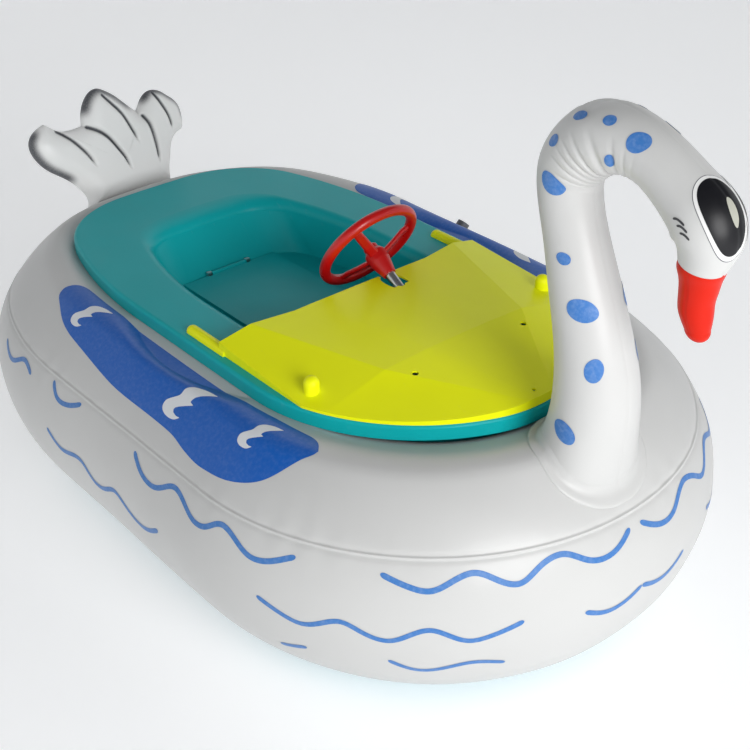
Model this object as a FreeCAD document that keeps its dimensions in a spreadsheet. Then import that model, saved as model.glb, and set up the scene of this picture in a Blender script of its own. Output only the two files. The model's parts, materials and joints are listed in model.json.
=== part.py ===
import FreeCAD, Part
import math
import os
from collections import namedtuple

import PartDesign
import Sketcher
from FreeCAD import Placement, Rotation, Vector

# Bumper boat with a swan's neck and tail. Millimetres and degrees.
# +X points to the bow, +Y to port, +Z up; the origin is on the ground under the middle of the ring.

SIZES = {
    # inflated ring: plan outline at its widest
    "ring_half_width": 604,
    "ring_bow": 950,
    "ring_bow_end_less": 14,
    "ring_bow_flank_more": 36,
    "ring_stern": 950,
    "ring_stern_start": 276,
    "ring_stern_flank_more": 326,
    "ring_stern_corner_less": 95,
    "ring_stern_end_more": 505,
    # inflated ring: section, from its widest point inwards
    "ring_widest_height": 289,
    "ring_side_radius": 230.6,
    "ring_side_turn": 36,
    "ring_top_radius": 432.6,
    "ring_top_turn": 18,
    "ring_crown_radius": 60,
    "ring_bed_radius": 200,
    "ring_bed_turn": 16,
    "ring_bed_run": 50,
    "ring_edge_radius": 60,
    "ring_foot_radius": 30,
    # deck rim of the cockpit tub: height over the ring's crown, plan inset from the ring's outline
    "rim_lift": 18.6,
    "rim_inset": 229,
    "rim_bow_inset": 274,
    "rim_bow_end_less": 120,
    "rim_bow_flank_more": 70,
    "rim_stern_inset": 214,
    "rim_stern_start": 196,
    "rim_stern_flank_more": 890,
    "rim_stern_corner_less": 135,
    "rim_stern_end_more": 2205,
    "skirt_depth": 32,
    "rim_round": 8,
    "tub_wall": 6,
    # opening in the deck, inset from the rim; bench, footwell
    "opening_inset": 137,
    "opening_bow_inset": 131,
    "opening_bow_end_less": 88,
    "opening_bow_flank_more": 92,
    "opening_stern_inset": 244,
    "opening_stern_start": 100,
    "opening_stern_flank_more": 862,
    "opening_stern_corner_less": 128,
    "opening_stern_end_more": 962,
    "lip_width": 24,
    "lip_height": 28,
    "lip_stern": 36,
    "lip_steps": 6,
    "seat_height": 430,
    "seat_stern": 425,
    "seat_inset": 12,
    "seat_front": -75,
    "floor_height": 8,
    "hull_draft": 25,
    "hatch_back": -385,
    "hatch_length": 270,
    "hatch_half_width": 120,
    "hatch_gap": 2,
    "lid_thickness": 8,
    "lid_lip": 14,
    "hinge_x": -403,
    "hinge_pin_radius": 3,
    "hinge_barrel_radius": 6,
    "hinge_half_length": 50,
    "hinge_bracket": 12,
    # thruster well and stem
    "stem_x": 330,
    "well_radius": 155,
    "well_height": 200,
    "stem_radius": 16,
    "running_gap": 0.05,
    "seat_gap": 0.3,
    "fit_gap": 0.1,
    # hood over the bow
    "hood_inset": 2,
    "hood_side_in": 23,
    "hood_side_end": 392,
    "vent_x": 475,
    "vent_y": 146,
    "vent_radius": 7,
    "nose_vent_x": 652,
    "nose_vent_radius": 4,
    "hood_wall": 4,
    "hood_corner_x": 100,
    "hood_corner_in": 25,
    "hood_back_x": 130,
    "hood_back_y": 180,
    "hood_mid_x": 430,
    "hood_nose_x": 700,
    "hood_reach_out": 25,
    "hood_back_edge": 21.7,
    "hood_back_crease_y": 335,
    "hood_back_crease": 50.7,
    "hood_back_ridge_y": 183,
    "hood_back_ridge": 51.7,
    "hood_mid_edge": -9.3,
    "hood_mid_crease_y": 185,
    "hood_mid_crease": 41.7,
    "hood_mid_ridge_y": 70,
    "hood_mid_ridge": 45.7,
    "hood_nose_edge": -20.3,
    "hood_nose_crease_y": 12,
    "hood_nose_crease": 15.7,
    "hood_nose_ridge_y": 4,
    "hood_nose_ridge": 16.7,
    "lug_radius": 14,
    "lug_in": 32,
    "lug_end_x": -28,
    "lug_length": 132,
    "front_lug_x": 364,
    "front_lug_in": 61,
    "front_lug_radius": 16,
    "front_lug_rise": 33,
    "screw_radius": 2.5,
    "screw_head_radius": 6,
    "screw_head_height": 3.2,
    "screw_rise": 8,
    # steering wheel and column
    "wheel_x": 81,
    "wheel_lift": 101.7,
    "column_tilt": 31.2,
    "wheel_ring_radius": 113,
    "wheel_grip_radius": 12,
    "wheel_dish": 32,
    "spoke_radius": 10,
    "spoke_half_width": 12,
    "spoke_count": 3,
    "spoke_turn": 100,
    "hub_radius": 24,
    "hub_end_radius": 15,
    "hub_length": 66,
    "notch_radius": 24,
    "hub_face": 14,
    "column_radius": 11,
    "column_neck_radius": 7,
    "bush_wall": 3,
    "bush_length": 30,
    "boss_radius": 20,
    # gears
    "gear_module": 3,
    "gear_teeth": 20,
    "bevel_face": 16,
    "gear_backlash": 0.35,
    "bevel_hub_radius": 18,
    "bevel_hub_end": 72,
    "spur_width": 14,
    "spur_drop": 4,
    "gear_spacing": 60.4,
    "post_radius": 9,
    "idler_nut_drop": 38,
    "idler_nut_radius": 14,
    "idler_nut_height": 8,
    # gear frame on the well's dome
    "frame_plate": 6,
    "frame_back_x": 238,
    "frame_front_x": 408,
    "frame_low_y": 52,
    "upright_half_width": 24,
    "upright_thickness": 8,
    "housing_radius": 28,
    "housing_drop": 19.2,
    "housing_flange_radius": 40,
    "housing_flange": 8,
    "housing_bolt_circle": 34,
    "collar_radius": 24,
    "frame_bolt_radius": 3,
    "housing_bolt_radius": 2.5,
    # thruster pod
    "pod_height": 100,
    "pod_radius": 38,
    "pod_wall": 3,
    "pod_back": -62,
    "pod_front": 70,
    "nose_length": 46,
    "leg_half_length": 34,
    "leg_half_width": 12,
    "leg_top": 176,
    "prop_shaft_radius": 6,
    "prop_x": -88,
    "prop_radius": 62,
    "prop_hub_radius": 15,
    "prop_hub_length": 30,
    "prop_pitch": 95,
    "blade_thickness": 3,
    "blade_count": 3,
    "guard_radius": 72,
    "guard_wall": 4,
    "guard_length": 44,
    "guard_strut": 5,
    # battery and controller
    "battery_length": 230,
    "battery_width": 170,
    "battery_height": 200,
    "battery_x": -255,
    "strap_width": 30,
    "strap_thickness": 2,
    "terminal_radius": 8,
    "terminal_height": 16,
    "controller_length": 60,
    "controller_width": 150,
    "controller_height": 90,
    "controller_z": 250,
    # speed pedal
    "pedal_x": 55,
    "pedal_y": -70,
    "pedal_length": 110,
    "pedal_width": 80,
    "pedal_thickness": 6,
    "pedal_tilt": 25,
    "pedal_pivot_height": 25,
    "pin_radius": 4,
    "ear_thickness": 5,
    "spring_half_length": 13,
    "spring_radius": 6.6,
    "spring_wire": 1.2,
    "spring_pitch": 4,
    "lead_radius": 4,
    "lead_bend": 18,
    # drain and valves
    "drain_x": 95,
    "drain_y": 120,
    "drain_radius": 14,
    "drain_head_radius": 22,
    "drain_head_height": 8,
    "valve_x": -120,
    "valve_neck_radius": 12,
    "valve_cap_top": 4,
    "tail_valve_back": 16,
    "lead_rail_y": 190,
    "lead_rail_drop": 25,
    "lead_arch_rise": 85,
    "valve_radius": 22,
    "valve_height": 7,
    "valve_cap_radius": 16,
    "valve_cap_height": 9,
    "small_valve_radius": 11,
    "small_valve_height": 6,
    # neck, head, beak
    "neck_foot_x": 806,
    "neck_foot_z": 512,
    "neck_scale": 100,
    "beak_length": 146,
    "beak_radius": 48,
    "beak_tip_radius": 12,
    # tail
    "tail_foot_x": -884,
    "tail_foot_z": 470,
    "lobe_length": 138,
    "lobe_width": 82,
    "lobe_thickness": 46,
    "lobe_lean": 18,
    "lobe_fan": 40,
    "lobe_spread": 30,
    "tail_waist_width": 118,
    "tail_waist_height": 124,
    "overrun": 5,
}


class Size:
    """A number together with the sheet formula that gives it."""

    def __init__(self, value, text):
        self.value = float(value)
        self.text = text

    def __float__(self):
        return self.value

    def __add__(self, other):
        return joined(self, "+", other)

    def __radd__(self, other):
        return joined(other, "+", self)

    def __sub__(self, other):
        return joined(self, "-", other)

    def __rsub__(self, other):
        return joined(other, "-", self)

    def __mul__(self, other):
        return joined(self, "*", other)

    def __rmul__(self, other):
        return joined(other, "*", self)

    def __truediv__(self, other):
        return joined(self, "/", other)

    def __neg__(self):
        return Size(-self.value, f"(-1 * {self.text})")


def as_size(thing):
    return thing if isinstance(thing, Size) else Size(thing, repr(thing))


def joined(first, sign, second):
    """One sum of two sizes: its value for code and its text for the sheet."""
    one = as_size(first)
    two = as_size(second)
    value = {
        "+": lambda: one.value + two.value,
        "-": lambda: one.value - two.value,
        "*": lambda: one.value * two.value,
        "/": lambda: one.value / two.value,
    }[sign]()
    return Size(value, f"({one.text} {sign} {two.text})")


def sine(angle):
    one = as_size(angle)
    return Size(math.sin(math.radians(one.value)), f"sin({one.text})")


def cosine(angle):
    one = as_size(angle)
    return Size(math.cos(math.radians(one.value)), f"cos({one.text})")


def root(size):
    return Size(math.sqrt(size.value), f"sqrt({size.text})")


doc = FreeCAD.newDocument("BumperBoat")
sheet = doc.addObject("Spreadsheet::Sheet", "Sizes")
for row, (alias, number) in enumerate(SIZES.items(), start=1):
    sheet.set(f"A{row}", alias)
    sheet.set(f"B{row}", str(number))
    sheet.setAlias(f"B{row}", alias)
doc.recompute()
s = namedtuple("Sheet", SIZES)(**{alias: Size(number, f"Sizes.{alias}") for alias, number in SIZES.items()})

pieces = {}


def keep(label, feature):
    """Names a finished sub-part; its label names its file."""
    feature.Label = label
    pieces[label] = feature
    return feature


def bind(feature, prop, size):
    if isinstance(size, Size):
        feature.setExpression(prop, size.text)
    else:
        feature.setExpression(prop, repr(size))


def put(feature, at=(0, 0, 0), turn=None):
    """Places a feature; each coordinate follows the sheet."""
    feature.Placement = Placement(Vector(*[float(c) for c in at]), turn or Rotation())
    for axis, size in zip("xyz", at):
        if isinstance(size, Size):
            feature.setExpression(f"Placement.Base.{axis}", size.text)
    return feature


def solid(kind, name, at=(0, 0, 0), turn=None, **sizes):
    """A Part primitive with every size bound to the sheet."""
    feature = doc.addObject(f"Part::{kind}", name)
    for prop, size in sizes.items():
        bind(feature, prop, size)
    return put(feature, at, turn)


def box(name, low, high):
    """A box between two corners."""
    span = [top - bottom for bottom, top in zip(low, high)]
    return solid("Box", name, low, Length=span[0], Width=span[1], Height=span[2])


def fuse(name, *features):
    feature = doc.addObject("Part::MultiFuse", name)
    feature.Shapes = list(features)
    return feature


def cut(name, base, *tools):
    feature = doc.addObject("Part::Cut", name)
    feature.Base = base
    feature.Tool = tools[0] if len(tools) == 1 else fuse(f"{name}_tools", *tools)
    return feature


def common(name, base, tool):
    feature = doc.addObject("Part::Common", name)
    feature.Base = base
    feature.Tool = tool
    return feature


def hold(sketch, number, end, name, prop, size):
    """Holds one end of a line or arc at a distance from the sketch's origin."""
    size = as_size(size)
    if size.value == 0:
        axis = -2 if prop == "DistanceX" else -1
        sketch.addConstraint(Sketcher.Constraint("PointOnObject", number, end, axis))
        return
    if size.value > 0:
        index = sketch.addConstraint(Sketcher.Constraint(prop, -1, 1, number, end, size.value))
    else:
        size = -size
        index = sketch.addConstraint(Sketcher.Constraint(prop, number, end, -1, 1, size.value))
    sketch.renameConstraint(index, name)
    sketch.setExpression(f"Constraints.{name}", size.text)


def radius_of(sketch, number, name, size):
    index = sketch.addConstraint(Sketcher.Constraint("Radius", number, float(size)))
    sketch.renameConstraint(index, name)
    sketch.setExpression(f"Constraints.{name}", size.text)


def draw(sketch, points):
    """A closed outline. A point is (x, y), or (x, y, radius, turn) where an arc leaves it,
    turn +1 with its centre on the left and -1 with its centre on the right."""
    count = len(points)
    ends = []
    for number, point in enumerate(points):
        start = Vector(float(point[0]), float(point[1]), 0)
        after = points[(number + 1) % count]
        stop = Vector(float(after[0]), float(after[1]), 0)
        if len(point) == 2:
            sketch.addGeometry(Part.LineSegment(start, stop), False)
            ends.append((1, 2))
            continue
        radius, turn = float(point[2]), point[3]
        chord = stop - start
        left = Vector(-chord.y, chord.x, 0).normalize()
        rise = math.sqrt(max(radius**2 - (chord.Length / 2) ** 2, 0))
        centre = start + chord * 0.5 + left * (turn * rise)
        first, last = (start, stop) if turn > 0 else (stop, start)
        angles = [math.atan2(p.y - centre.y, p.x - centre.x) for p in (first, last)]
        circle = Part.Circle(centre, Vector(0, 0, 1), radius)
        sketch.addGeometry(Part.ArcOfCircle(circle, *angles), False)
        ends.append((1, 2) if turn > 0 else (2, 1))
    for number in range(count):
        after = (number + 1) % count
        sketch.addConstraint(
            Sketcher.Constraint("Coincident", number, ends[number][1], after, ends[after][0])
        )
    for number, point in enumerate(points):
        hold(sketch, number, ends[number][0], f"across_{number}", "DistanceX", point[0])
        hold(sketch, number, ends[number][0], f"up_{number}", "DistanceY", point[1])
        if len(point) > 2:
            radius_of(sketch, number, f"radius_{number}", point[2])


def plane_of(body, role):
    return [feature for feature in body.Origin.OriginFeatures if feature.Role == role][0]


def body_sketch(body, role, name, points=None):
    sketch = body.newObject("Sketcher::SketchObject", name)
    sketch.AttachmentSupport = [(plane_of(body, role), "")]
    sketch.MapMode = "FlatFace"
    if points:
        draw(sketch, points)
    return sketch


def turned(label, outline, at=(0, 0, 0), turn=None):
    """A body turned on a lathe: outline points are (radius, height)."""
    body = doc.addObject("PartDesign::Body", f"{label}_body")
    sketch = body_sketch(body, "XZ_Plane", f"{label}_outline", outline)
    spin = body.newObject("PartDesign::Revolution", f"{label}_turned")
    spin.Profile = sketch
    spin.ReferenceAxis = (sketch, ["V_Axis"])
    spin.Angle = 360
    return put(body, at, turn)


def padded(label, role, outline, length, at=(0, 0, 0), turn=None, middle=True):
    """A body with one outline padded to a length."""
    body = doc.addObject("PartDesign::Body", f"{label}_body")
    sketch = body_sketch(body, role, f"{label}_outline", outline)
    pad = body.newObject("PartDesign::Pad", f"{label}_pad")
    pad.Profile = sketch
    pad.Midplane = middle
    bind(pad, "Length", length)
    return put(body, at, turn)


def ring_outline(inner, outer, low, high):
    return [(inner, low), (outer, low), (outer, high), (inner, high)]


# Plan outlines: an oval of tangent arcs with a rounder bow and a squarer stern

Oval = namedtuple(
    "Oval", "half_width bow bow_end bow_flank stern stern_start stern_flank stern_corner stern_end"
)

ring_half = s.ring_half_width
ring = Oval(
    ring_half, s.ring_bow, ring_half - s.ring_bow_end_less, ring_half + s.ring_bow_flank_more,
    s.ring_stern, s.ring_stern_start, ring_half + s.ring_stern_flank_more,
    ring_half - s.ring_stern_corner_less, ring_half + s.ring_stern_end_more,
)
rim_half = ring_half - s.rim_inset
rim = Oval(
    rim_half, s.ring_bow - s.rim_bow_inset, rim_half - s.rim_bow_end_less, rim_half + s.rim_bow_flank_more,
    s.ring_stern - s.rim_stern_inset, s.rim_stern_start, rim_half + s.rim_stern_flank_more,
    rim_half - s.rim_stern_corner_less, rim_half + s.rim_stern_end_more,
)
opening_half = rim_half - s.opening_inset
opening = Oval(
    opening_half, rim.bow - s.opening_bow_inset, opening_half - s.opening_bow_end_less,
    opening_half + s.opening_bow_flank_more, rim.stern - s.opening_stern_inset, s.opening_stern_start,
    opening_half + s.opening_stern_flank_more, opening_half - s.opening_stern_corner_less,
    opening_half + s.opening_stern_end_more,
)
bench = opening._replace(stern=s.seat_stern)

# The hood's edges and lugs keep their distance from the deck's side
lug_y = rim.half_width - s.lug_in
front_lug_y = rim.half_width - s.front_lug_in
hood_side_y = rim.half_width - s.hood_side_in
hood_corner_y = rim.half_width - s.hood_corner_in
hood_reach_y = rim.half_width + s.hood_reach_out

# Heights and the top line's inset that follow from the ring's section
full_turn = s.ring_side_turn + s.ring_top_turn
side_inset = s.ring_side_radius * (1 - cosine(s.ring_side_turn))
shoulder_inset = s.ring_top_radius * (cosine(s.ring_side_turn) - cosine(full_turn))
crown_inset = side_inset + shoulder_inset + s.ring_crown_radius * cosine(full_turn)
seam_height = s.ring_widest_height + s.ring_side_radius * sine(s.ring_side_turn)
shoulder_height = seam_height + s.ring_top_radius * (sine(full_turn) - sine(s.ring_side_turn))
crown_height = shoulder_height + s.ring_crown_radius * (1 - sine(full_turn))
rim_height = crown_height + s.rim_lift
wheel_z = rim_height + s.wheel_lift
hinge_z = s.seat_height + s.lid_thickness
lead_rail_z = s.seat_height - s.lead_rail_drop


def oval_centres(oval):
    """Centres of the arcs on the port side: bow end, bow flank, stern flank, stern corner, stern end."""
    o = Oval(*[float(size) for size in oval])
    reach = math.sqrt((o.bow_flank - o.bow_end) ** 2 - (o.bow_flank - o.half_width) ** 2)
    bow_end = Vector(o.bow - o.bow_end, 0, 0)
    bow_flank = Vector(bow_end.x - reach, o.half_width - o.bow_flank, 0)
    stern_flank = Vector(-o.stern_start, o.half_width - o.stern_flank, 0)
    stern_end = Vector(o.stern_end - o.stern, 0, 0)
    gap = stern_end - stern_flank
    near = o.stern_flank - o.stern_corner
    far = o.stern_end - o.stern_corner
    along = (near**2 - far**2 + gap.Length**2) / (2 * gap.Length)
    aside = math.sqrt(near**2 - along**2)
    unit = Vector(gap).normalize()
    stern_corner = stern_flank + unit * along + Vector(-unit.y, unit.x, 0) * aside
    return bow_end, bow_flank, stern_flank, stern_corner, stern_end


def angle_to(start, end):
    return math.atan2(end.y - start.y, end.x - start.x)


def draw_oval(sketch, oval, inset):
    """Ten tangent pieces, anticlockwise from the bow end. All arcs keep their centres when inset."""
    inset = as_size(inset)
    centres = oval_centres(oval)
    bow_end, bow_flank, stern_flank, stern_corner, stern_end = centres
    radii = [oval.bow_end, oval.bow_flank, oval.stern_flank, oval.stern_corner, oval.stern_end]
    radii = [size - inset for size in radii]
    half = oval.half_width - inset
    at_bow = angle_to(bow_flank, bow_end)
    at_flank = angle_to(stern_flank, stern_corner)
    at_end = angle_to(stern_end, stern_corner)
    quarter = math.pi / 2
    mirror = [Vector(c.x, -c.y, 0) for c in centres]
    arcs = {
        0: (bow_end, radii[0], -at_bow, at_bow),
        1: (bow_flank, radii[1], at_bow, quarter),
        3: (stern_flank, radii[2], quarter, at_flank),
        4: (stern_corner, radii[3], at_flank, at_end),
        5: (stern_end, radii[4], at_end, 2 * math.pi - at_end),
        6: (mirror[3], radii[3], -at_end, -at_flank),
        7: (mirror[2], radii[2], -at_flank, -quarter),
        9: (mirror[1], radii[1], -quarter, -at_bow),
    }
    lines = {
        2: (Vector(bow_flank.x, half.value, 0), Vector(stern_flank.x, half.value, 0)),
        8: (Vector(stern_flank.x, -half.value, 0), Vector(bow_flank.x, -half.value, 0)),
    }
    for number in range(10):
        if number in lines:
            sketch.addGeometry(Part.LineSegment(*lines[number]), False)
        else:
            centre, radius, first, last = arcs[number]
            circle = Part.Circle(centre, Vector(0, 0, 1), radius.value)
            sketch.addGeometry(Part.ArcOfCircle(circle, first, last), False)
    for number in range(10):
        after = (number + 1) % 10
        sketch.addConstraint(Sketcher.Constraint("Tangent", number, 2, after, 1))
    for number in (2, 8):
        sketch.addConstraint(Sketcher.Constraint("Horizontal", number))
    for number, (centre, radius, first, last) in arcs.items():
        radius_of(sketch, number, f"radius_{number}", radius)
    for number in (0, 5):
        sketch.addConstraint(Sketcher.Constraint("PointOnObject", number, 3, -1))
    hold(sketch, 0, 3, "bow_centre", "DistanceX", oval.bow - oval.bow_end)
    hold(sketch, 5, 3, "stern_centre", "DistanceX", oval.stern_end - oval.stern)
    hold(sketch, 2, 1, "port_side", "DistanceY", half)
    hold(sketch, 8, 1, "starboard_side", "DistanceY", -half)
    hold(sketch, 3, 3, "port_flank", "DistanceX", -oval.stern_start)
    hold(sketch, 7, 3, "starboard_flank", "DistanceX", -oval.stern_start)


def oval_at(name, oval, inset, height):
    """A free oval sketch at a height."""
    sketch = doc.addObject("Sketcher::SketchObject", name)
    draw_oval(sketch, oval, inset)
    return put(sketch, (0, 0, height))


def slab(name, oval, inset, low, high):
    """An oval sketch extruded between two heights."""
    feature = doc.addObject("Part::Extrusion", name)
    feature.Base = oval_at(f"{name}_oval", oval, inset, low)
    feature.DirMode = "Custom"
    feature.Dir = Vector(0, 0, 1)
    feature.Solid = True
    bind(feature, "LengthFwd", high - low)
    return feature


def tapered(name, *ovals):
    """A ruled loft through ovals given as (oval, inset, height)."""
    feature = doc.addObject("Part::Loft", name)
    feature.Sections = [oval_at(f"{name}_{n}", *oval) for n, oval in enumerate(ovals)]
    feature.Solid = True
    feature.Ruled = True
    return feature


# Directions of the steering column: its own +Z runs forward and down from the wheel
COLUMN_TURN = Rotation(Vector(0, 1, 0), 90 + s.column_tilt.value)
forward = cosine(s.column_tilt)
down = sine(s.column_tilt)
apex_run = (s.stem_x - s.wheel_x) / forward
apex_height = wheel_z - down * apex_run


def on_column(distance):
    """A point on the column's axis, measured from the wheel's plane."""
    return (s.wheel_x + forward * distance, s.gear_spacing, wheel_z - down * distance)


def ring_tube():
    """Ring section swept round the plan: side, shoulder, crown, bed under the deck rim, inner wall."""
    body = doc.addObject("PartDesign::Body", "ring_body")
    path = body_sketch(body, "XY_Plane", "ring_path")
    draw_oval(path, ring, crown_inset)
    side = s.ring_half_width - s.ring_side_radius
    seam_y = side + s.ring_side_radius * cosine(s.ring_side_turn)
    crown_y = s.ring_half_width - crown_inset
    shoulder_y = crown_y + s.ring_crown_radius * cosine(full_turn)
    bed_y = crown_y - s.ring_bed_radius * sine(s.ring_bed_turn)
    bed_z = crown_height - s.ring_bed_radius * (1 - cosine(s.ring_bed_turn))
    edge_y = bed_y - s.ring_bed_run
    edge_z = bed_z - s.ring_bed_run * sine(s.ring_bed_turn) / cosine(s.ring_bed_turn)
    inner_y = edge_y - s.ring_edge_radius * (1 - sine(s.ring_bed_turn))
    inner_z = edge_z - s.ring_edge_radius * cosine(s.ring_bed_turn)
    contact_y = s.ring_half_width - s.ring_widest_height
    body_sketch(body, "YZ_Plane", "ring_section", [
        (s.ring_half_width, s.ring_widest_height, s.ring_side_radius, 1),
        (seam_y, seam_height, s.ring_top_radius, 1),
        (shoulder_y, shoulder_height, s.ring_crown_radius, 1),
        (crown_y, crown_height, s.ring_bed_radius, 1),
        (bed_y, bed_z),
        (edge_y, edge_z, s.ring_edge_radius, 1),
        (inner_y, inner_z),
        (inner_y, s.ring_foot_radius, s.ring_foot_radius, 1),
        (inner_y + s.ring_foot_radius, 0),
        (contact_y, 0, s.ring_widest_height, 1),
    ])
    pipe = body.newObject("PartDesign::AdditivePipe", "ring_sweep")
    pipe.Profile = doc.getObject("ring_section")
    pipe.Spine = (path, [f"Edge{number + 1}" for number in range(10)])
    pipe.Transition = "Transformed"
    foot = rim_height - s.skirt_depth - s.seat_gap
    keep("ring_tube", cut("ring_shape", body, slab("rim_bed", rim, -s.seat_gap, foot, rim_height)))


def round_wire(centre, direction, radius):
    """A circle made of three arcs, so that lofts keep three faces a stretch."""
    turn = Rotation(Vector(0, 0, 1), direction)
    points = [
        centre + turn.multVec(Vector(math.cos(a), math.sin(a), 0)) * radius
        for a in [math.radians(60 * n) for n in range(7)]
    ]
    return Part.Wire([Part.Arc(*points[n:n + 3]).toShape() for n in (0, 2, 4)])


def tube_through(stations, ruled=False):
    """A solid lofted through circles given as (point, radius) along a path."""
    wires = []
    for number, (point, radius) in enumerate(stations):
        before = stations[max(number - 1, 0)][0]
        after = stations[min(number + 1, len(stations) - 1)][0]
        wires.append(round_wire(point, after - before, radius))
    return Part.makeLoft(wires, True, ruled)


# Neck stations as shares of the neck's scale: forward of the foot, up from the foot, radius
NECK_SHARES = [
    (0.00, -0.10, 1.02),
    (0.05, 0.55, 0.88),
    (0.02, 1.60, 0.78),
    (-0.20, 2.85, 0.71),
    (-0.54, 4.05, 0.65),
    (-0.83, 4.95, 0.61),
    (-0.88, 5.60, 0.58),
    (-0.57, 6.10, 0.58),
    (0.08, 6.20, 0.61),
    (0.80, 6.02, 0.68),
    (1.50, 5.68, 0.77),
    (1.98, 5.20, 0.75),
    (2.10, 4.74, 0.52),
]


# The beak's stations as shares of its length and radius, and how far its tip leans forward
BEAK_SHARES = [(0, 1), (0.3, 0.86), (0.6, 0.62), (0.85, 0.38), (1, 0.14)]
BEAK_HOOK_SHARE = 0.02


def neck_point(along, up):
    return Vector(
        s.neck_foot_x.value + along * s.neck_scale.value, 0,
        s.neck_foot_z.value + up * s.neck_scale.value,
    )


def swan_neck():
    """Inflated neck and head: one tube that leans back, arches over and ends at the beak."""
    stations = [(neck_point(x, z), r * s.neck_scale.value) for x, z, r in NECK_SHARES]
    feature = doc.addObject("Part::Feature", "neck_tube")
    feature.Shape = tube_through(stations)
    keep("swan_neck", cut("neck_shape", feature, pieces["ring_tube"]))


def beak():
    """Separate cone welded under the head, a little hooked towards its tip."""
    foot = neck_point(NECK_SHARES[-1][0], NECK_SHARES[-1][1])
    stations = []
    for share, width_share in BEAK_SHARES:
        reach = s.beak_length.value * share
        drop = Vector(reach * BEAK_HOOK_SHARE, 0, -reach - s.seat_gap.value)
        stations.append((foot + drop, s.beak_radius.value * width_share))
    feature = doc.addObject("Part::Feature", "beak_cone")
    feature.Shape = tube_through(stations)
    keep("beak", cut("beak_shape", feature, pieces["swan_neck"]))


def swan_tail():
    """Three inflated lobes leaning back from one waist."""
    lobes = []
    lean = Rotation(Vector(0, 1, 0), -s.lobe_lean.value)
    foot = (s.tail_foot_x, 0, s.tail_foot_z)
    waist = doc.addObject("Part::Ellipsoid", "tail_waist")
    bind(waist, "Radius1", s.tail_waist_height)
    bind(waist, "Radius2", s.lobe_thickness)
    bind(waist, "Radius3", s.tail_waist_width)
    lobes.append(put(waist, foot, lean))
    for number, side in enumerate((-1, 0, 1)):
        turn = lean.multiply(Rotation(Vector(1, 0, 0), -side * s.lobe_fan.value))
        reach = turn.multVec(Vector(0, 0, s.lobe_length.value))
        base = Vector(s.tail_foot_x.value, side * s.lobe_spread.value, s.tail_foot_z.value)
        lobe = doc.addObject("Part::Ellipsoid", f"lobe_{number}")
        bind(lobe, "Radius1", s.lobe_length)
        bind(lobe, "Radius2", s.lobe_thickness)
        bind(lobe, "Radius3", s.lobe_width)
        put(lobe, tuple(base + reach), turn)
        lobes.append(lobe)
    keep("swan_tail", cut("tail_shape", fuse("tail_lobes", *lobes), pieces["ring_tube"]))


def rounding(first, last, width, height, way):
    """Ovals of a quarter round up to the deck: way 1 draws in over its width, way -1 flares out."""
    steps = int(s.lip_steps.value)
    ovals = []
    for step in range(steps + 1):
        lean = 90 * step / steps
        share = 1 - math.cos(math.radians(lean))
        rise_share = 1 - math.sin(math.radians(lean))
        oval = Oval(*[low + (high - low) * share for low, high in zip(first, last)])
        ovals.append((oval, width * (way * share), rim_height - height * rise_share))
    return ovals


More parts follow.
